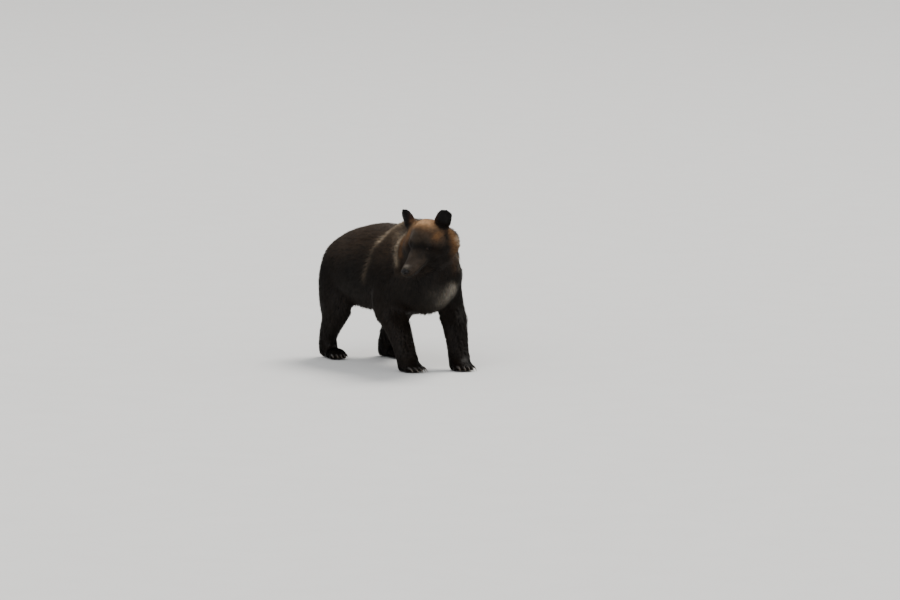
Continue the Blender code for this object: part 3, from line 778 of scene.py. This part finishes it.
def clumped(roots, tips, size, pull, rng):
    """Draws the tips of neighbouring locks together: each is pulled to the middle of the tips in its cell,
    and the cells are cubes of a size, bent by waves."""
    bent = np.stack([waves(roots, size * 2.3, seed) for seed in (31, 32, 33)], 1)
    cell = np.floor(roots / size + rng.random(3) + CELL_BEND * bent).astype(np.int64)
    key = np.bitwise_xor.reduce(cell * CELL_KEYS, 1)
    _, group = np.unique(key, return_inverse=True)
    count = np.bincount(group)
    middle = np.stack([np.bincount(group, tips[:, axis]) / count for axis in range(3)], 1)[group]
    return tips + (middle - tips) * pull[:, None]


def grow(coat, name, weights, count, material, slot, seed, keel, clump):
    """A piece of the coat. Each lock starts at its root on the skin, rises to its own height and follows the
    lie of the coat; its middle line is root + s L along + h(s) up, where h rises fast and then levels."""
    rng = np.random.default_rng(seed)
    skin = coat["skin"]
    triangle, share = scatter(skin, weights, count, rng)
    corners = skin.triangles[triangle]

    def at(field):
        values = coat[field][corners]
        return (values * share.reshape(share.shape + (1,) * (values.ndim - 2))).sum(1)

    root, up = at("points"), unit(at("normal"))
    way = flattened(at("lie"), up)
    beside = np.cross(up, way)
    swerve = SWERVE_TOGETHER * waves(root, 0.11, 41) + SWERVE_ALONE * rng.normal(size=count)
    way = unit(way * np.cos(swerve)[:, None] + beside * np.sin(swerve)[:, None])
    beside = np.cross(up, way)
    length = at("length") * rng.uniform(*LENGTHS, count)
    height = at("depth") * rng.uniform(LEAST_HEIGHT, MOST_HEIGHT[keel], count)
    width = at("width") * rng.uniform(*WIDTHS, count) * 1.0
    height = np.minimum(height, 0.75 * length)
    reach = np.sqrt(np.maximum(length**2 - height**2, 1e-8))

    # The tip: drawn to its clump, a little to one side, and hanging under the belly.
    tip = root + way * reach[:, None] + up * height[:, None]
    tip = clumped(root, tip, clump, rng.uniform(*PULLS, count), rng)
    tip = tip + beside * (rng.normal(size=count) * 0.05 * length)[:, None]
    under = ramp(-up[:, 2], 0.25, 0.9) * ramp(root[:, 2], 0.15, 0.35)
    tip[:, 2] -= under * length * HANG * rng.random(count) ** 2
    tip[:, 2] = np.maximum(tip[:, 2], TIP_HEIGHT)
    rows = []
    for s in LOCK_ROWS:
        rise = 1.0 - (1.0 - s) ** 2.1
        rows.append(root + (tip - root) * s + up * (height * (rise - s) * 0.75)[:, None])
    rows[0] = rows[0] - up * ROOT_DEPTH[keel]
    points = [rows[0]]
    for row in (1, 2):
        ahead = unit(rows[row + 1] - rows[row - 1])
        across = unit(np.cross(up, ahead))
        half = across * (width * LOCK_WIDTHS[row] / 2)[:, None]
        ridge = np.cross(ahead, across) * (width * LOCK_WIDTHS[row] * RIDGE)[:, None]
        middle = [rows[row] + ridge] if keel else []
        points += [rows[row] + half, *middle, rows[row] - half]
    points.append(rows[3])
    points = np.stack(points, 1)
    pattern = KEELED if keel else FLAT
    per = points.shape[1]
    triangles = (pattern[None] + np.arange(count)[:, None, None] * per).reshape(-1, 3)

    # The colour: each lock has its own tone and warmth, is dark at its root and pale towards its tip.
    tone = np.exp(rng.normal(size=(count, 1)) * TONE_SPREAD)
    warm = rng.normal(size=(count, 1)) * WARMTH_SPREAD
    colour = at("colour") * tone * (1 + warm * np.array([1.0, 0.0, -1.0]))
    pale = np.array(GRIZZLE) * 0.45 + colour * 1.5
    share_along = np.repeat(LOCK_ROWS, [1, 3, 3, 1] if keel else [1, 2, 2, 1])
    light = at("light") * rng.uniform(*LIGHTS, count)
    mix = light[:, None, None] * ramp(share_along, 0.35, 1.0)[None, :, None]
    shade = (0.55 + 0.45 * ramp(share_along, 0.0, 0.45))[None, :, None]
    whole = (colour[:, None] * (1 - mix) + pale[:, None] * mix) * shade

    # The maps: a small patch at the root's place for the bake, and place across and along the lock.
    sides = [0.0, 0.5, 1.0] if keel else [0.0, 1.0]
    cross = np.array([0.5, *sides, *sides, 0.5])
    patch = np.stack([cross - 0.5, share_along - 0.5], 1) * MAP_PATCH
    home = (coat["unwrap"][triangle] * share[..., None]).sum(1)
    bake = np.clip(home[:, None] + patch[None], 0.001, 0.999)[:, pattern].reshape(-1, 2)
    own = cross[None] + np.floor(rng.random((count, 1)) * 997)
    strand = np.stack([own, np.broadcast_to(share_along[None], (count, per))], -1)
    maps = {"OFBake": bake, "strands": strand[:, pattern].reshape(-1, 2)}
    mesh = mesh_of(name, points.reshape(-1, 3), triangles, whole.reshape(-1, 3), maps)
    show(name, mesh, material, slot)


# ---- Materials ----
FLOAT = "NodeSocketFloat"
SOCKETS = dict.fromkeys(("Contrast", "Gloss", "Amount", "Size", "Wetness"), FLOAT)
SOCKETS.update(Colour="NodeSocketColor", Place="NodeSocketVector")


def add(tree, kind, links=None, **settings):
    """A shader node with its properties set, its inputs given as numbers or joined to other sockets."""
    node = tree.nodes.new(kind)
    for key, value in settings.items():
        setattr(node, key, value)
    for key, value in (links or {}).items():
        if isinstance(value, bpy.types.NodeSocket):
            tree.links.new(value, node.inputs[key])
        else:
            node.inputs[key].default_value = value
    return node


def join(tree, node, **sockets):
    """Links each socket to the node's input of that name."""
    for label, socket in sockets.items():
        tree.links.new(socket, node.inputs[label.replace("_", " ")])


def noise(tree, place, scale, detail, roughness=0.5):
    links = {"Vector": place, "Scale": scale, "Detail": detail, "Roughness": roughness}
    return add(tree, "ShaderNodeTexNoise", links).outputs["Fac"]


def maths(tree, operation, *values):
    return add(tree, "ShaderNodeMath", dict(enumerate(values)), operation=operation).outputs["Value"]


def times(tree, colour, factor):
    """A colour times a number."""
    node = add(tree, "ShaderNodeVectorMath", {0: colour, "Scale": factor}, operation="SCALE")
    return node.outputs["Vector"]


def between(tree, value, low, high, start=0.0, end=1.0, **settings):
    """A value that runs from start to end, made to run from low to high."""
    links = {"Value": value, "From Min": start, "From Max": end, "To Min": low, "To Max": high}
    return add(tree, "ShaderNodeMapRange", links, **settings).outputs["Result"]


def stretched(tree, place, scale):
    return add(tree, "ShaderNodeMapping", {"Vector": place, "Scale": scale}).outputs["Vector"]


def toned(tree, value, stops):
    """A colour ramp over a value, from stops of (position, colour)."""
    node = add(tree, "ShaderNodeValToRGB", {"Fac": value})
    made = node.color_ramp.elements
    for end in (-1, 0):
        made[end].position, made[end].color = stops[end][0], (*stops[end][1], 1)
    for position, colour in stops[1:-1]:
        made.new(position).color = (*colour, 1)
    return node.outputs["Color"]


def object_place(tree):
    return add(tree, "ShaderNodeTexCoord").outputs["Object"]


def own_place(tree):
    """The piece's own map: across and along a lock or claw, round and away from an eye's middle."""
    return add(tree, "ShaderNodeUVMap", uv_map="strands").outputs["UV"]


def own_colour(tree):
    return add(tree, "ShaderNodeAttribute", attribute_name="coat_colour").outputs["Color"]


def new_group(name, inputs, outputs):
    """An empty node group from named inputs and their defaults, and named outputs: its tree, what it is
    given, and its end."""
    tree = bpy.data.node_groups.new(name, "ShaderNodeTree")
    for label, default in inputs.items():
        socket = tree.interface.new_socket(label, in_out="INPUT", socket_type=SOCKETS[label])
        socket.default_value = default
    for label in outputs:
        tree.interface.new_socket(label, in_out="OUTPUT", socket_type=SOCKETS.get(label, FLOAT))
    return tree, tree.nodes.new("NodeGroupInput").outputs, tree.nodes.new("NodeGroupOutput")


def strand_group():
    """Fine hairs drawn along a lock: noise stretched along its length varies colour, gloss and height."""
    given_values = {"Colour": (0.5, 0.5, 0.5, 1), "Place": (0, 0, 0), "Contrast": 0.5, "Gloss": 0.45}
    tree, given, out = new_group("hair_strands", given_values, ("Colour", "Roughness", "Height"))
    hairs = noise(tree, stretched(tree, given["Place"], (9.0, 0.9, 1.0)), 1.0, 3.0, 0.6)
    streaks = maths(tree, "MULTIPLY", between(tree, hairs, -1.0, 1.0, 0.3, 0.7), given["Contrast"])
    colour = times(tree, given["Colour"], maths(tree, "POWER", 2.0, streaks))
    rough = maths(tree, "MULTIPLY_ADD", streaks, 0.14, given["Gloss"])
    join(tree, out, Colour=colour, Roughness=rough, Height=hairs)
    return tree


def patches_group():
    """Soft mottling over the body: two noises of different sizes lighten and darken the colour."""
    given_values = {"Colour": (0.5, 0.5, 0.5, 1), "Amount": 0.3}
    tree, given, out = new_group("coat_mottling", given_values, ("Colour",))
    place = object_place(tree)
    both = maths(tree, "ADD", noise(tree, place, 9.0, 4.0), noise(tree, place, 42.0, 3.0))
    power = maths(tree, "MULTIPLY", maths(tree, "SUBTRACT", both, 1.0), given["Amount"])
    join(tree, out, Colour=times(tree, given["Colour"], maths(tree, "POWER", 8.0, power)))
    return tree


def grain_group():
    """Leathery grain: cells with dark seams between them, as colour, roughness and height."""
    given_values = {"Colour": (0.02, 0.02, 0.02, 1), "Size": 300.0, "Wetness": 0.5}
    tree, given, out = new_group("skin_grain", given_values, ("Colour", "Roughness", "Height"))
    place = object_place(tree)
    links = {"Vector": place, "Scale": given["Size"]}
    cells = add(tree, "ShaderNodeTexVoronoi", links, feature="DISTANCE_TO_EDGE")
    seam = between(tree, cells.outputs["Distance"], 0.0, 1.0, 0.0, 0.25)
    soft = noise(tree, place, 60.0, 4.0)
    level = maths(tree, "ADD", maths(tree, "MULTIPLY_ADD", seam, 0.5, 0.6), soft)
    rough = maths(tree, "MULTIPLY", soft, maths(tree, "SUBTRACT", 1.0, given["Wetness"]))
    join(tree, out, Colour=times(tree, given["Colour"], level), Roughness=rough, Height=seam)
    return tree


def new_material(name, **constants):
    """A material with one Principled shader, whose plain values are set on its own sockets."""
    material = bpy.data.materials.new(name)
    material.use_nodes = True
    tree = material.node_tree
    shader = tree.nodes["Principled BSDF"]
    for label, value in constants.items():
        shader.inputs[label.replace("_", " ")].default_value = value
    return material, tree, shader


def use_group(tree, group, **values):
    node = tree.nodes.new("ShaderNodeGroup")
    node.node_tree = group
    for label, value in values.items():
        if isinstance(value, bpy.types.NodeSocket):
            tree.links.new(value, node.inputs[label])
        else:
            node.inputs[label].default_value = value
    return node.outputs


def finished(tree, shader, colour, rough, height=None, strength=0.0, distance=0.0):
    """Joins colour and roughness to the shader, and a height through a bump."""
    join(tree, shader, Base_Color=colour, Roughness=rough)
    if height is not None:
        links = {"Height": height, "Strength": strength, "Distance": distance}
        join(tree, shader, Normal=add(tree, "ShaderNodeBump", links).outputs["Normal"])


def coat_material(name, gloss, groups):
    """Hair: the coat's own colour at each point, mottled over the body and streaked along each lock."""
    material, tree, shader = new_material(name, IOR=1.5, Specular_IOR_Level=0.12)
    mottled = use_group(tree, groups["patches"], Colour=own_colour(tree), Amount=0.45)["Colour"]
    values = {"Colour": mottled, "Place": own_place(tree), "Contrast": 0.75, "Gloss": gloss}
    made = use_group(tree, groups["strands"], **values)
    finished(tree, shader, made["Colour"], made["Roughness"], made["Height"], 0.35, 0.0012)
    return material


def skin_material(groups):
    """Skin and underfur: the same markings, painted shade and highlights as the coat, darker, with fine fur
    grain as bump.
    """
    material, tree, shader = new_material("skin_and_underfur", Specular_IOR_Level=0.10)
    mottled = use_group(tree, groups["patches"], Colour=own_colour(tree), Amount=0.6)["Colour"]
    fur = noise(tree, object_place(tree), 420.0, 4.0, 0.7)
    colour = times(tree, mottled, between(tree, fur, 0.35, 1.15, 0.3, 0.7))
    finished(tree, shader, colour, between(tree, fur, 0.9, 0.6), fur, 0.8, 0.002)
    return material


def leather_material(name, colour, size, wetness, groups):
    """Bare skin of nose, lips and lids: grained, dark and a little wet."""
    material, tree, shader = new_material(name, Specular_IOR_Level=0.15)
    grain = use_group(tree, groups["grain"], Colour=(*colour, 1), Size=size, Wetness=wetness)
    # The piece's own colour multiplies the grain: on the nose pad it holds the painted shade in the nostrils.
    links = {0: grain["Colour"], 1: own_colour(tree)}
    shaded = add(tree, "ShaderNodeVectorMath", links, operation="MULTIPLY").outputs["Vector"]
    finished(tree, shader, shaded, grain["Roughness"], grain["Height"], 0.25, 0.0005)
    return material


def horn_material():
    """Claw horn: streaks along the claw, dark at the root and worn pale at the tip, by the claw's own map."""
    material, tree, shader = new_material("claw_horn", Specular_IOR_Level=0.5)
    own = own_place(tree)
    streaks = noise(tree, stretched(tree, own, (14.0, 1.4, 1.0)), 1.0, 5.0)
    outward = add(tree, "ShaderNodeSeparateXYZ", {"Vector": own}).outputs["Y"]
    colour = toned(tree, maths(tree, "MULTIPLY_ADD", streaks, 0.35, outward), HORN_TONES)
    finished(tree, shader, colour, between(tree, streaks, 0.25, 0.55), streaks, 0.4, 0.0006)
    return material


def eye_material():
    """An eye: black pupil, brown iris with fine rays, dark rim, by the eye's own map (angle, distance)."""
    wet = {"Specular_IOR_Level": 0.10, "Coat_Weight": 0.10, "Coat_Roughness": 0.05}
    material, tree, shader = new_material("eye_wet", **wet)
    own = own_place(tree)
    rays = noise(tree, stretched(tree, own, (60.0, 3.0, 1.0)), 1.0, 3.0)
    outward = add(tree, "ShaderNodeSeparateXYZ", {"Vector": own}).outputs["Y"]
    colour = toned(tree, maths(tree, "MULTIPLY_ADD", rays, 0.06, outward), EYE_TONES)
    finished(tree, shader, colour, between(tree, rays, 0.08, 0.2))
    return material


# ---- Small pieces, as grids of points in rings ----
def grid_mesh(name, points, shade=None):
    """A mesh from a (rows, columns, 3) grid whose last column meets its first, turned to face outwards, with
    a map of column and row, and a shade at each point that is 1 unless given."""
    rows, columns = points.shape[:2]
    row, column = np.meshgrid(np.arange(rows - 1), np.arange(columns), indexing="ij")
    a, b = row * columns + column, row * columns + (column + 1) % columns
    c, d = a + columns, b + columns
    triangles = np.concatenate([np.stack(three, -1).reshape(-1, 3) for three in ((a, b, d), (a, d, c))])
    flat = points.reshape(-1, 3)
    outward = flat[triangles].mean(1) - flat.mean(0)
    if (Surface(flat, triangles).face_normals() * outward).sum() < 0:
        triangles = triangles[:, ::-1]
    column, row = triangles % columns, triangles // columns
    last = column.max(1, keepdims=True) == columns - 1
    column = np.where((column == 0) & last, columns, column)
    strand = np.stack([column / columns, row / (rows - 1)], -1).reshape(-1, 2)
    shade = np.ones(rows * columns) if shade is None else shade.ravel()
    return mesh_of(name, flat, triangles, np.repeat(shade[:, None], 3, 1), {"strands": strand})


def moved_grid(grid, matrix):
    return moved(grid.reshape(-1, 3), matrix).reshape(grid.shape)


def once_round(count):
    """Angles once round a circle, evenly spread."""
    return np.arange(count) / count * 2 * math.pi


def joined(name, meshes):
    """Several meshes as one, keeping their maps."""
    bm = bmesh.new()
    for mesh in meshes:
        bm.from_mesh(mesh)
    whole = bpy.data.meshes.new(name)
    bm.to_mesh(whole)
    bm.free()
    whole.shade_smooth()
    return whole


def eye_axes(side):
    """The eye's centre, the way it looks, and the long and short directions of its opening, in the head's
    frame."""
    gaze = unit(np.array([0.82, side * 0.57, 0.06]))
    long = unit(np.cross(np.array([0.0, 0.0, 1.0]), gaze)) * side
    long = unit(long + np.array([0.0, 0.0, 0.22]))
    long = unit(long - gaze * (long @ gaze))
    return eye_centre(side), gaze, long, np.cross(long, gaze) * -side


def almond(turn):
    """The edge of the opening, in eye radii: an oval, lower below the middle, and pinched at its ends."""
    wide, tall = np.cos(turn), np.sin(turn)
    pinch = 1 - 0.30 * np.abs(wide) ** 2.5
    return 0.76 * wide, np.where(tall > 0, 0.50, 0.42) * tall * pinch


def eye_edge(turn):
    """How far the opening's edge is from its middle, in eye radii, at a turn about the gaze."""
    return np.hypot(*almond(turn))


def around_eye(side, tilt, wide, tall, reach):
    """Points at a tilt from the gaze, in the direction (wide, tall) about it, at a reach from the centre."""
    centre, gaze, long, short = eye_axes(side)
    beside = np.sin(tilt) * wide
    above = np.sin(tilt) * tall
    way = np.cos(tilt)[..., None] * gaze + beside[..., None] * long + above[..., None] * short
    return moved_grid(centre + way * reach[..., None], HEAD)


def eyeball(side):
    """A ball whose front bulges: its radius at an angle a to its gaze is R (1 + 0.09 e^-(a / 28 deg)^2)."""
    tilt, turn = np.meshgrid(np.linspace(0, math.pi, 33), once_round(48), indexing="ij")
    tilt[0], tilt[-1] = 0.004, math.pi - 0.004
    reach = EYE_RADIUS * (1 + 0.09 * np.exp(-((tilt / math.radians(28)) ** 2)))
    return around_eye(side, tilt, np.cos(turn), np.sin(turn), reach)


def eyelids(side):
    """Both lids' bare rims as one ring: an almond edge on the ball, a rounded rim, an edge under the skin."""
    wide, tall = almond(once_round(96))
    start = np.hypot(wide, tall)
    degrees_out, lift = np.array(LID_ROWS).T[..., None]
    tilt = np.arcsin(start) + np.radians(degrees_out)
    return around_eye(side, tilt, wide / start, tall / start, EYE_RADIUS * lift)


def nose_pad():
    """A broad pad: x = front + bulge cos, y and z on a rounded square, narrower below, less two nostrils, and
    a painted shade that darkens the nostrils' insides by their depth.
    """
    tilt, turn = np.meshgrid(np.linspace(0, 1, 40) * NOSE_WRAP, once_round(120), indexing="ij")
    wide, tall = np.cos(turn), np.sin(turn)
    reach = (np.abs(wide) ** 2.6 + np.abs(tall) ** 2.6) ** (-1 / 2.6) * np.sin(tilt)
    half, above, below, bulge = NOSE_SIZE
    y = (half + 0.007 * np.minimum(tall, 0)) * wide * reach
    z = np.where(tall > 0, above, below) * tall * reach
    x = bulge * np.cos(tilt) - 0.10 * np.maximum(z, 0) - 0.35 * np.maximum(-z, 0)
    spread = np.abs(y)
    nostril_shade = np.zeros_like(x)
    for centre_y, centre_z, radius_y, radius_z, deep in NOSTRILS:
        dent = np.exp(-((((spread - centre_y) / radius_y) ** 2 + ((z - centre_z) / radius_z) ** 2) ** 2))
        x = x - deep * dent
        nostril_shade = np.maximum(nostril_shade, dent)
    # A groove down the middle, and a raised wing over each nostril.
    x = x - 0.0028 * np.exp(-((y / 0.0022) ** 2)) * ramp(-z, -0.004, 0.006)
    x = x + 0.0024 * np.exp(-(((spread - 0.0135) / 0.014) ** 2 + ((z - 0.0105) / 0.004) ** 2))
    front, height = NOSE_PLACE
    whole = np.stack([front + x, y, height + z], -1)
    # The second value darkens each nostril's inside by its depth: painted shade, carried as the pad's colour.
    return moved_grid(whole, HEAD), 1 - 0.92 * ramp(nostril_shade, 0.15, 0.75)


def lips(tree, lift, thick):
    """A soft roll along the mouth, from one corner round the front to the other, half sunk in the skin."""
    turns = np.linspace(-1, 1, 81)
    middle = []
    for turn in turns:
        start = MOUTH_BACK + (MOUTH_FRONT - MOUTH_BACK) * min(1.0, (1 - abs(turn)) / (1 - MOUTH_ROUND))
        angle = math.copysign(math.pi / 2 * min(1.0, abs(turn) / MOUTH_ROUND), turn)
        way = np.array([math.cos(angle), math.sin(angle), MOUTH_SLOPE * math.cos(angle)])
        origin = np.array([start, 0.0, mouth_height(start) + lift])
        spot = tree.ray_cast(HEAD @ Vector(origin + way * 0.14), HEAD.to_3x3() @ Vector(-way))[0]
        middle.append(HEAD @ Vector(origin + way * 0.05) if spot is None else spot)
    middle = moved(np.array(middle), HEAD.inverted())
    for _ in range(3):
        middle[1:-1] = middle[1:-1] * 0.4 + (middle[:-2] + middle[2:]) * 0.3
    run = unit(np.gradient(middle, axis=0))
    out = unit(np.cross(run, [0.0, 0.0, 1.0]))
    away = (middle - np.array([0.2, 0.0, 0.0])) * [1, 1, 0]
    out = out * np.sign((out * away).sum(1, keepdims=True))
    above = unit(np.cross(out, run))
    around = once_round(14)[None, :, None]
    size = thick * np.sqrt(np.clip(1 - np.abs(turns) ** 6, 0.02, 1))
    ring = np.cos(around) * out[:, None] * 0.9 + np.sin(around) * above[:, None]
    return moved_grid(middle[:, None] + out[:, None] * 0.0012 + ring * size[:, None, None], HEAD)


def claw(name, x, y, length, frame_of_foot):
    """A horn that narrows along an arc; its section is an oval, tall, with a sharper lower edge."""
    share, around = np.meshgrid(np.linspace(0, 1, CLAW_ROWS), once_round(CLAW_SIDES), indexing="ij")
    bend = CLAW_ARC * share
    forward = x + length * np.sin(bend) / CLAW_ARC
    height = CLAW_HEIGHT - length * (1 - np.cos(bend)) / CLAW_ARC
    size = CLAW_RADIUS * (1 - 0.90 * share**1.25)
    tall = size * np.sin(around)
    flat = 0.58 * size * np.cos(around) * (1 + 0.45 * np.minimum(np.sin(around), 0))
    points = np.stack([forward + tall * np.sin(bend), y + flat, height + tall * np.cos(bend)], -1)
    points[0, :, 0] -= 0.012
    points[-1] = points[-1].mean(0)
    return grid_mesh(name, moved_grid(points, frame_of_foot))


def add_claws(material):
    for name in FEET:
        kind = foot_kind(name)
        made = []
        for step in range(-2, 3):
            x = toe_front(kind, step) - 0.010
            made.append(claw(f"claw_{step}", x, step * TOES[kind][2], CLAW_LENGTH[kind], foot_at(name)))
        show(f"claws_{name}", joined(f"claws_{name}", made), material, "nose_and_claws")


# ---- Floor, light and camera ----
FLOOR_HALF = 300.0
# Lamps: name, strength, how many degrees wide, direction and colour.
LAMPS = (
    ("key", 3.4, 26, (0.20, -0.52, -0.90), (1.0, 0.97, 0.92)),
    ("fill", 1.7, 50, (-0.62, 0.62, -0.62), (0.95, 0.97, 1.0)),
)
CAMERA_TURN_AND_RISE = (60, 6)
CAMERA_AIM = (0.3448, 0.4483)  # across the view and up it, from the bear's own origin
CAMERA_AWAY = 50.0


def add_stage():
    """A pale floor that reaches past the camera's view, its colour darkened far off as a painted falloff of
    light, soft lamps and an even sky.
    """
    mesh = bpy.data.meshes.new("floor")
    corners = [(x * FLOOR_HALF, y * FLOOR_HALF, 0) for x, y in ((-1, -1), (1, -1), (1, 1), (-1, 1))]
    mesh.from_pydata(corners, [], [(0, 1, 2, 3)])
    floor = linked("floor", mesh)
    material, tree, shader = new_material("floor_pale", Roughness=0.9, Specular_IOR_Level=0.2)
    place = object_place(tree)
    colour = toned(tree, noise(tree, place, 3.0, 3.0), FLOOR_TONES)
    far = add(tree, "ShaderNodeVectorMath", {0: place}, operation="LENGTH").outputs["Value"]
    # Painted falloff: the floor's colour darkens with distance, brighter round the bear.
    painted_falloff = between(tree, far, 1.0, 0.50, 6.0, 90.0, interpolation_type="SMOOTHSTEP")
    join(tree, shader, Base_Color=times(tree, colour, painted_falloff))
    mesh.materials.append(material)

    world = bpy.data.worlds.new("studio")
    world.use_nodes = True
    sky = world.node_tree.nodes["Background"].inputs
    sky["Color"].default_value = (0.88, 0.89, 0.90, 1)
    sky["Strength"].default_value = 0.75
    bpy.context.scene.world = world
    for name, energy, spread, direction, colour in LAMPS:
        lamp = bpy.data.lights.new(name, "SUN")
        lamp.energy, lamp.angle, lamp.color = energy, math.radians(spread), colour
        linked(name, lamp).rotation_euler = Vector(direction).to_track_quat("-Z", "Y").to_euler()


def add_camera():
    """A long lens from the bear's right and front, a little above it."""
    turn, rise = (math.radians(degrees) for degrees in CAMERA_TURN_AND_RISE)
    across = Vector((math.cos(turn), math.sin(turn), 0.0))
    back = Vector((math.sin(turn) * math.cos(rise), -math.cos(turn) * math.cos(rise), math.sin(rise)))
    aim = SHIFT + across * CAMERA_AIM[0] + back.cross(across) * CAMERA_AIM[1]
    lens = bpy.data.cameras.new("camera")
    lens.sensor_width = 36.0
    lens.lens = 290.0
    lens.clip_start, lens.clip_end = 1.0, 500.0
    camera = linked("camera", lens)
    camera.location = aim + back * CAMERA_AWAY
    camera.rotation_euler = (-back).to_track_quat("-Z", "Y").to_euler()
    bpy.context.scene.camera = camera


add_stage()
add_camera()

# ---- The skin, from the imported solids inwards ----
skin = wrapped_flesh()
nearest = node_shares(skin)
labels = nearest.argmax(1)
without_claws(skin, nearest)
shares = skin.evened(nearest, 14)
faced = share_of(shares, *HEAD_NODES) * face_share(moved(skin.points, HEAD.inverted()))
ears = share_of(shares, *EARS)
firm = np.clip(np.maximum(np.maximum(ears, faced), 0.6 * share_of(shares, *FEET)), 0, 1)
skin.points = skin.evened(skin.points, 12, 0.5 - 0.44 * firm + 0.16 * ears)
for _ in range(FACET_ROUNDS):  # evens the facets out without shrinking what is thin: in, then back out
    skin.points = skin.evened(skin.evened(skin.points, 1, 0.50), 1, -0.53)
depth, length, width = coat_fields(skin, shares)
inset(skin, depth, firm)
sculpt_face(skin)
# Where the skin came to lie deeper than the coat, the coat still reaches the solids' surface.
gap = skin.evened(np.minimum(gap_to_solids(skin), depth + 0.022), 5)
depth = np.maximum(depth, gap * (1 - 0.8 * faced))
lie = lie_of_coat(skin, shares)
# The markings, with their painted shade and highlights, are read at the skin for the skin, and near the
# middle of each lock for the coat.
skin_colour, _ = markings_and_painted_light(skin.points, shares)
outside = skin.points + lie * (0.55 * length)[:, None] + skin.normals() * (0.7 * depth)[:, None]
colour, light = markings_and_painted_light(outside, shares)
# The coat stands taller along the ruff, and is short round the eyes.
local = moved(skin.points, HEAD.inverted())
ruffled = np.maximum(along(local, RUFF_RIGHT, 0.045), 0.55 * along(local, RUFF_LEFT, 0.050))
depth, length = depth + 0.022 * ruffled, length * (1 - 0.30 * ruffled)
for side in (1, -1):
    near = 1 - ramp(eye_distance(local, side), EYE_RADIUS, 3.2 * EYE_RADIUS)
    depth, length, width = depth * (1 - 0.74 * near), length * (1 - 0.60 * near), width * (1 - 0.45 * near)
unwrap = side_charts(skin, labels)

groups = {"strands": strand_group(), "patches": patches_group(), "grain": grain_group()}
coats = {
    "brown_coat": coat_material("coat_brown", 0.52, groups),
    "dark_coat": coat_material("coat_dark", 0.46, groups),
    "golden_coat": coat_material("coat_golden", 0.56, groups),
}
leather = leather_material("nose_leather", NOSE_COLOUR, 420.0, 0.35, groups)
rim = leather_material("bare_rims", RIM_COLOUR, 900.0, 0.10, groups)
eye_finish = eye_material()

skin_mesh = mesh_of("skin", skin.points, skin.triangles, skin_colour * 0.6, {"OFBake": unwrap.reshape(-1, 2)})
show("skin", skin_mesh, skin_material(groups), "brown_coat", *FLESH)
for side, word in ((1, "left"), (-1, "right")):
    show(f"eyeball_{word}", grid_mesh(f"eyeball_{word}", eyeball(side)), eye_finish, "eye", f"eye_{word}")
    show(f"eyelids_{word}", grid_mesh(f"eyelids_{word}", eyelids(side)), rim, "nose_and_claws")
show("nose_pad", grid_mesh("nose_pad", *nose_pad()), leather, "nose_and_claws")
tree = BVHTree.FromPolygons(skin.points.tolist(), skin.triangles.tolist())
for word, (lift, thick) in LIPS.items():
    show(f"lip_{word}", grid_mesh(f"lip_{word}", lips(tree, lift, thick)), rim, "nose_and_claws")
add_claws(horn_material())

# ---- The coat, piece by piece ----
bear, local = in_frames(skin.points[skin.triangles].mean(1))
owner = np.array(FLESH)[labels[skin.triangles[:, 0]]]

# No lock grows in an eye's opening, on the nose pad, in the mouth's line or under the soles.
bare = np.ones(len(owner))
near_eyes = 0.0
for side in (1, -1):
    height, across, opening = by_eye(local, side)
    bare *= 1 - (1 - ramp(opening, 1.22, 1.45)) * (across < 1.5) * (np.abs(height) < 3.0)
    near_eyes += 1 - ramp(eye_distance(local, side), EYE_RADIUS, 3.0 * EYE_RADIUS)
bare *= 1 - (local[:, 0] > 0.296) * (blob(local, (0.31, 0.0, -0.037), (1.0, 0.031, 0.018)) > 0.368)
by_mouth = (local[:, 0] > 0.13) & (np.abs(local[:, 1]) < 0.09) & (local[:, 2] < -0.05)
bare *= 1 - np.exp(-(((local[:, 2] - mouth_height(local[:, 0])) / 0.0060) ** 2)) * by_mouth
soles = bear[:, 2] >= 0.012

coat = {"skin": skin, "points": skin.points, "normal": unit(skin.evened(skin.normals(), 6)), "lie": lie}
coat.update(depth=depth, length=length, width=width, colour=colour, light=light, unwrap=unwrap)


def of(*names):
    return np.isin(owner, names).astype(float)


# Each piece: name, where it grows, how many locks, slot, whether its locks have keels, and its clumps' size.
fore, rear = bear[:, 0] > 0.16, bear[:, 0] <= -0.33
on_face = (face_share(local) > 0.35) & np.isin(owner, HEAD_NODES)
on_muzzle = 1 + 0.8 * (local[:, 0] > 0.05) + 2.5 * near_eyes
pieces = [
    ("coat_shoulders", of("trunk") * fore, 24500, "brown_coat", True, 0.026),
    ("coat_barrel", of("trunk") * ~(fore | rear), 24500, "brown_coat", True, 0.026),
    ("coat_rump", of("trunk", "tail") * rear, 18000, "brown_coat", True, 0.026),
    ("coat_neck", of("neck"), 14000, "brown_coat", True, 0.024),
    ("coat_crown", of(*HEAD_NODES) * ~on_face, 18000, "golden_coat", True, 0.014),
    ("coat_face", on_face * bare * on_muzzle, 46000, "golden_coat", False, 0.008),
    ("coat_ears", of(*EARS), 15000, "dark_coat", False, 0.009),
]
for leg, parts in (("foreleg", ("upper_arm", "forearm")), ("hindleg", ("thigh", "shank"))):
    for side in ("left", "right"):
        own = of(*(f"{part}_{side}" for part in parts))
        pieces.append((f"coat_{leg}_{side}", own, 12000, "dark_coat", True, 0.024))
for paw in ("forepaw", "hindpaw"):
    own = of(f"{paw}_left", f"{paw}_right") * soles
    pieces.append((f"coat_{paw}s", own, 15000, "dark_coat", False, 0.010))
for seed, (name, weights, count, slot, keel, clump) in enumerate(pieces):
    grow(coat, name, weights, count, coats[slot], slot, seed + 100, keel, clump)
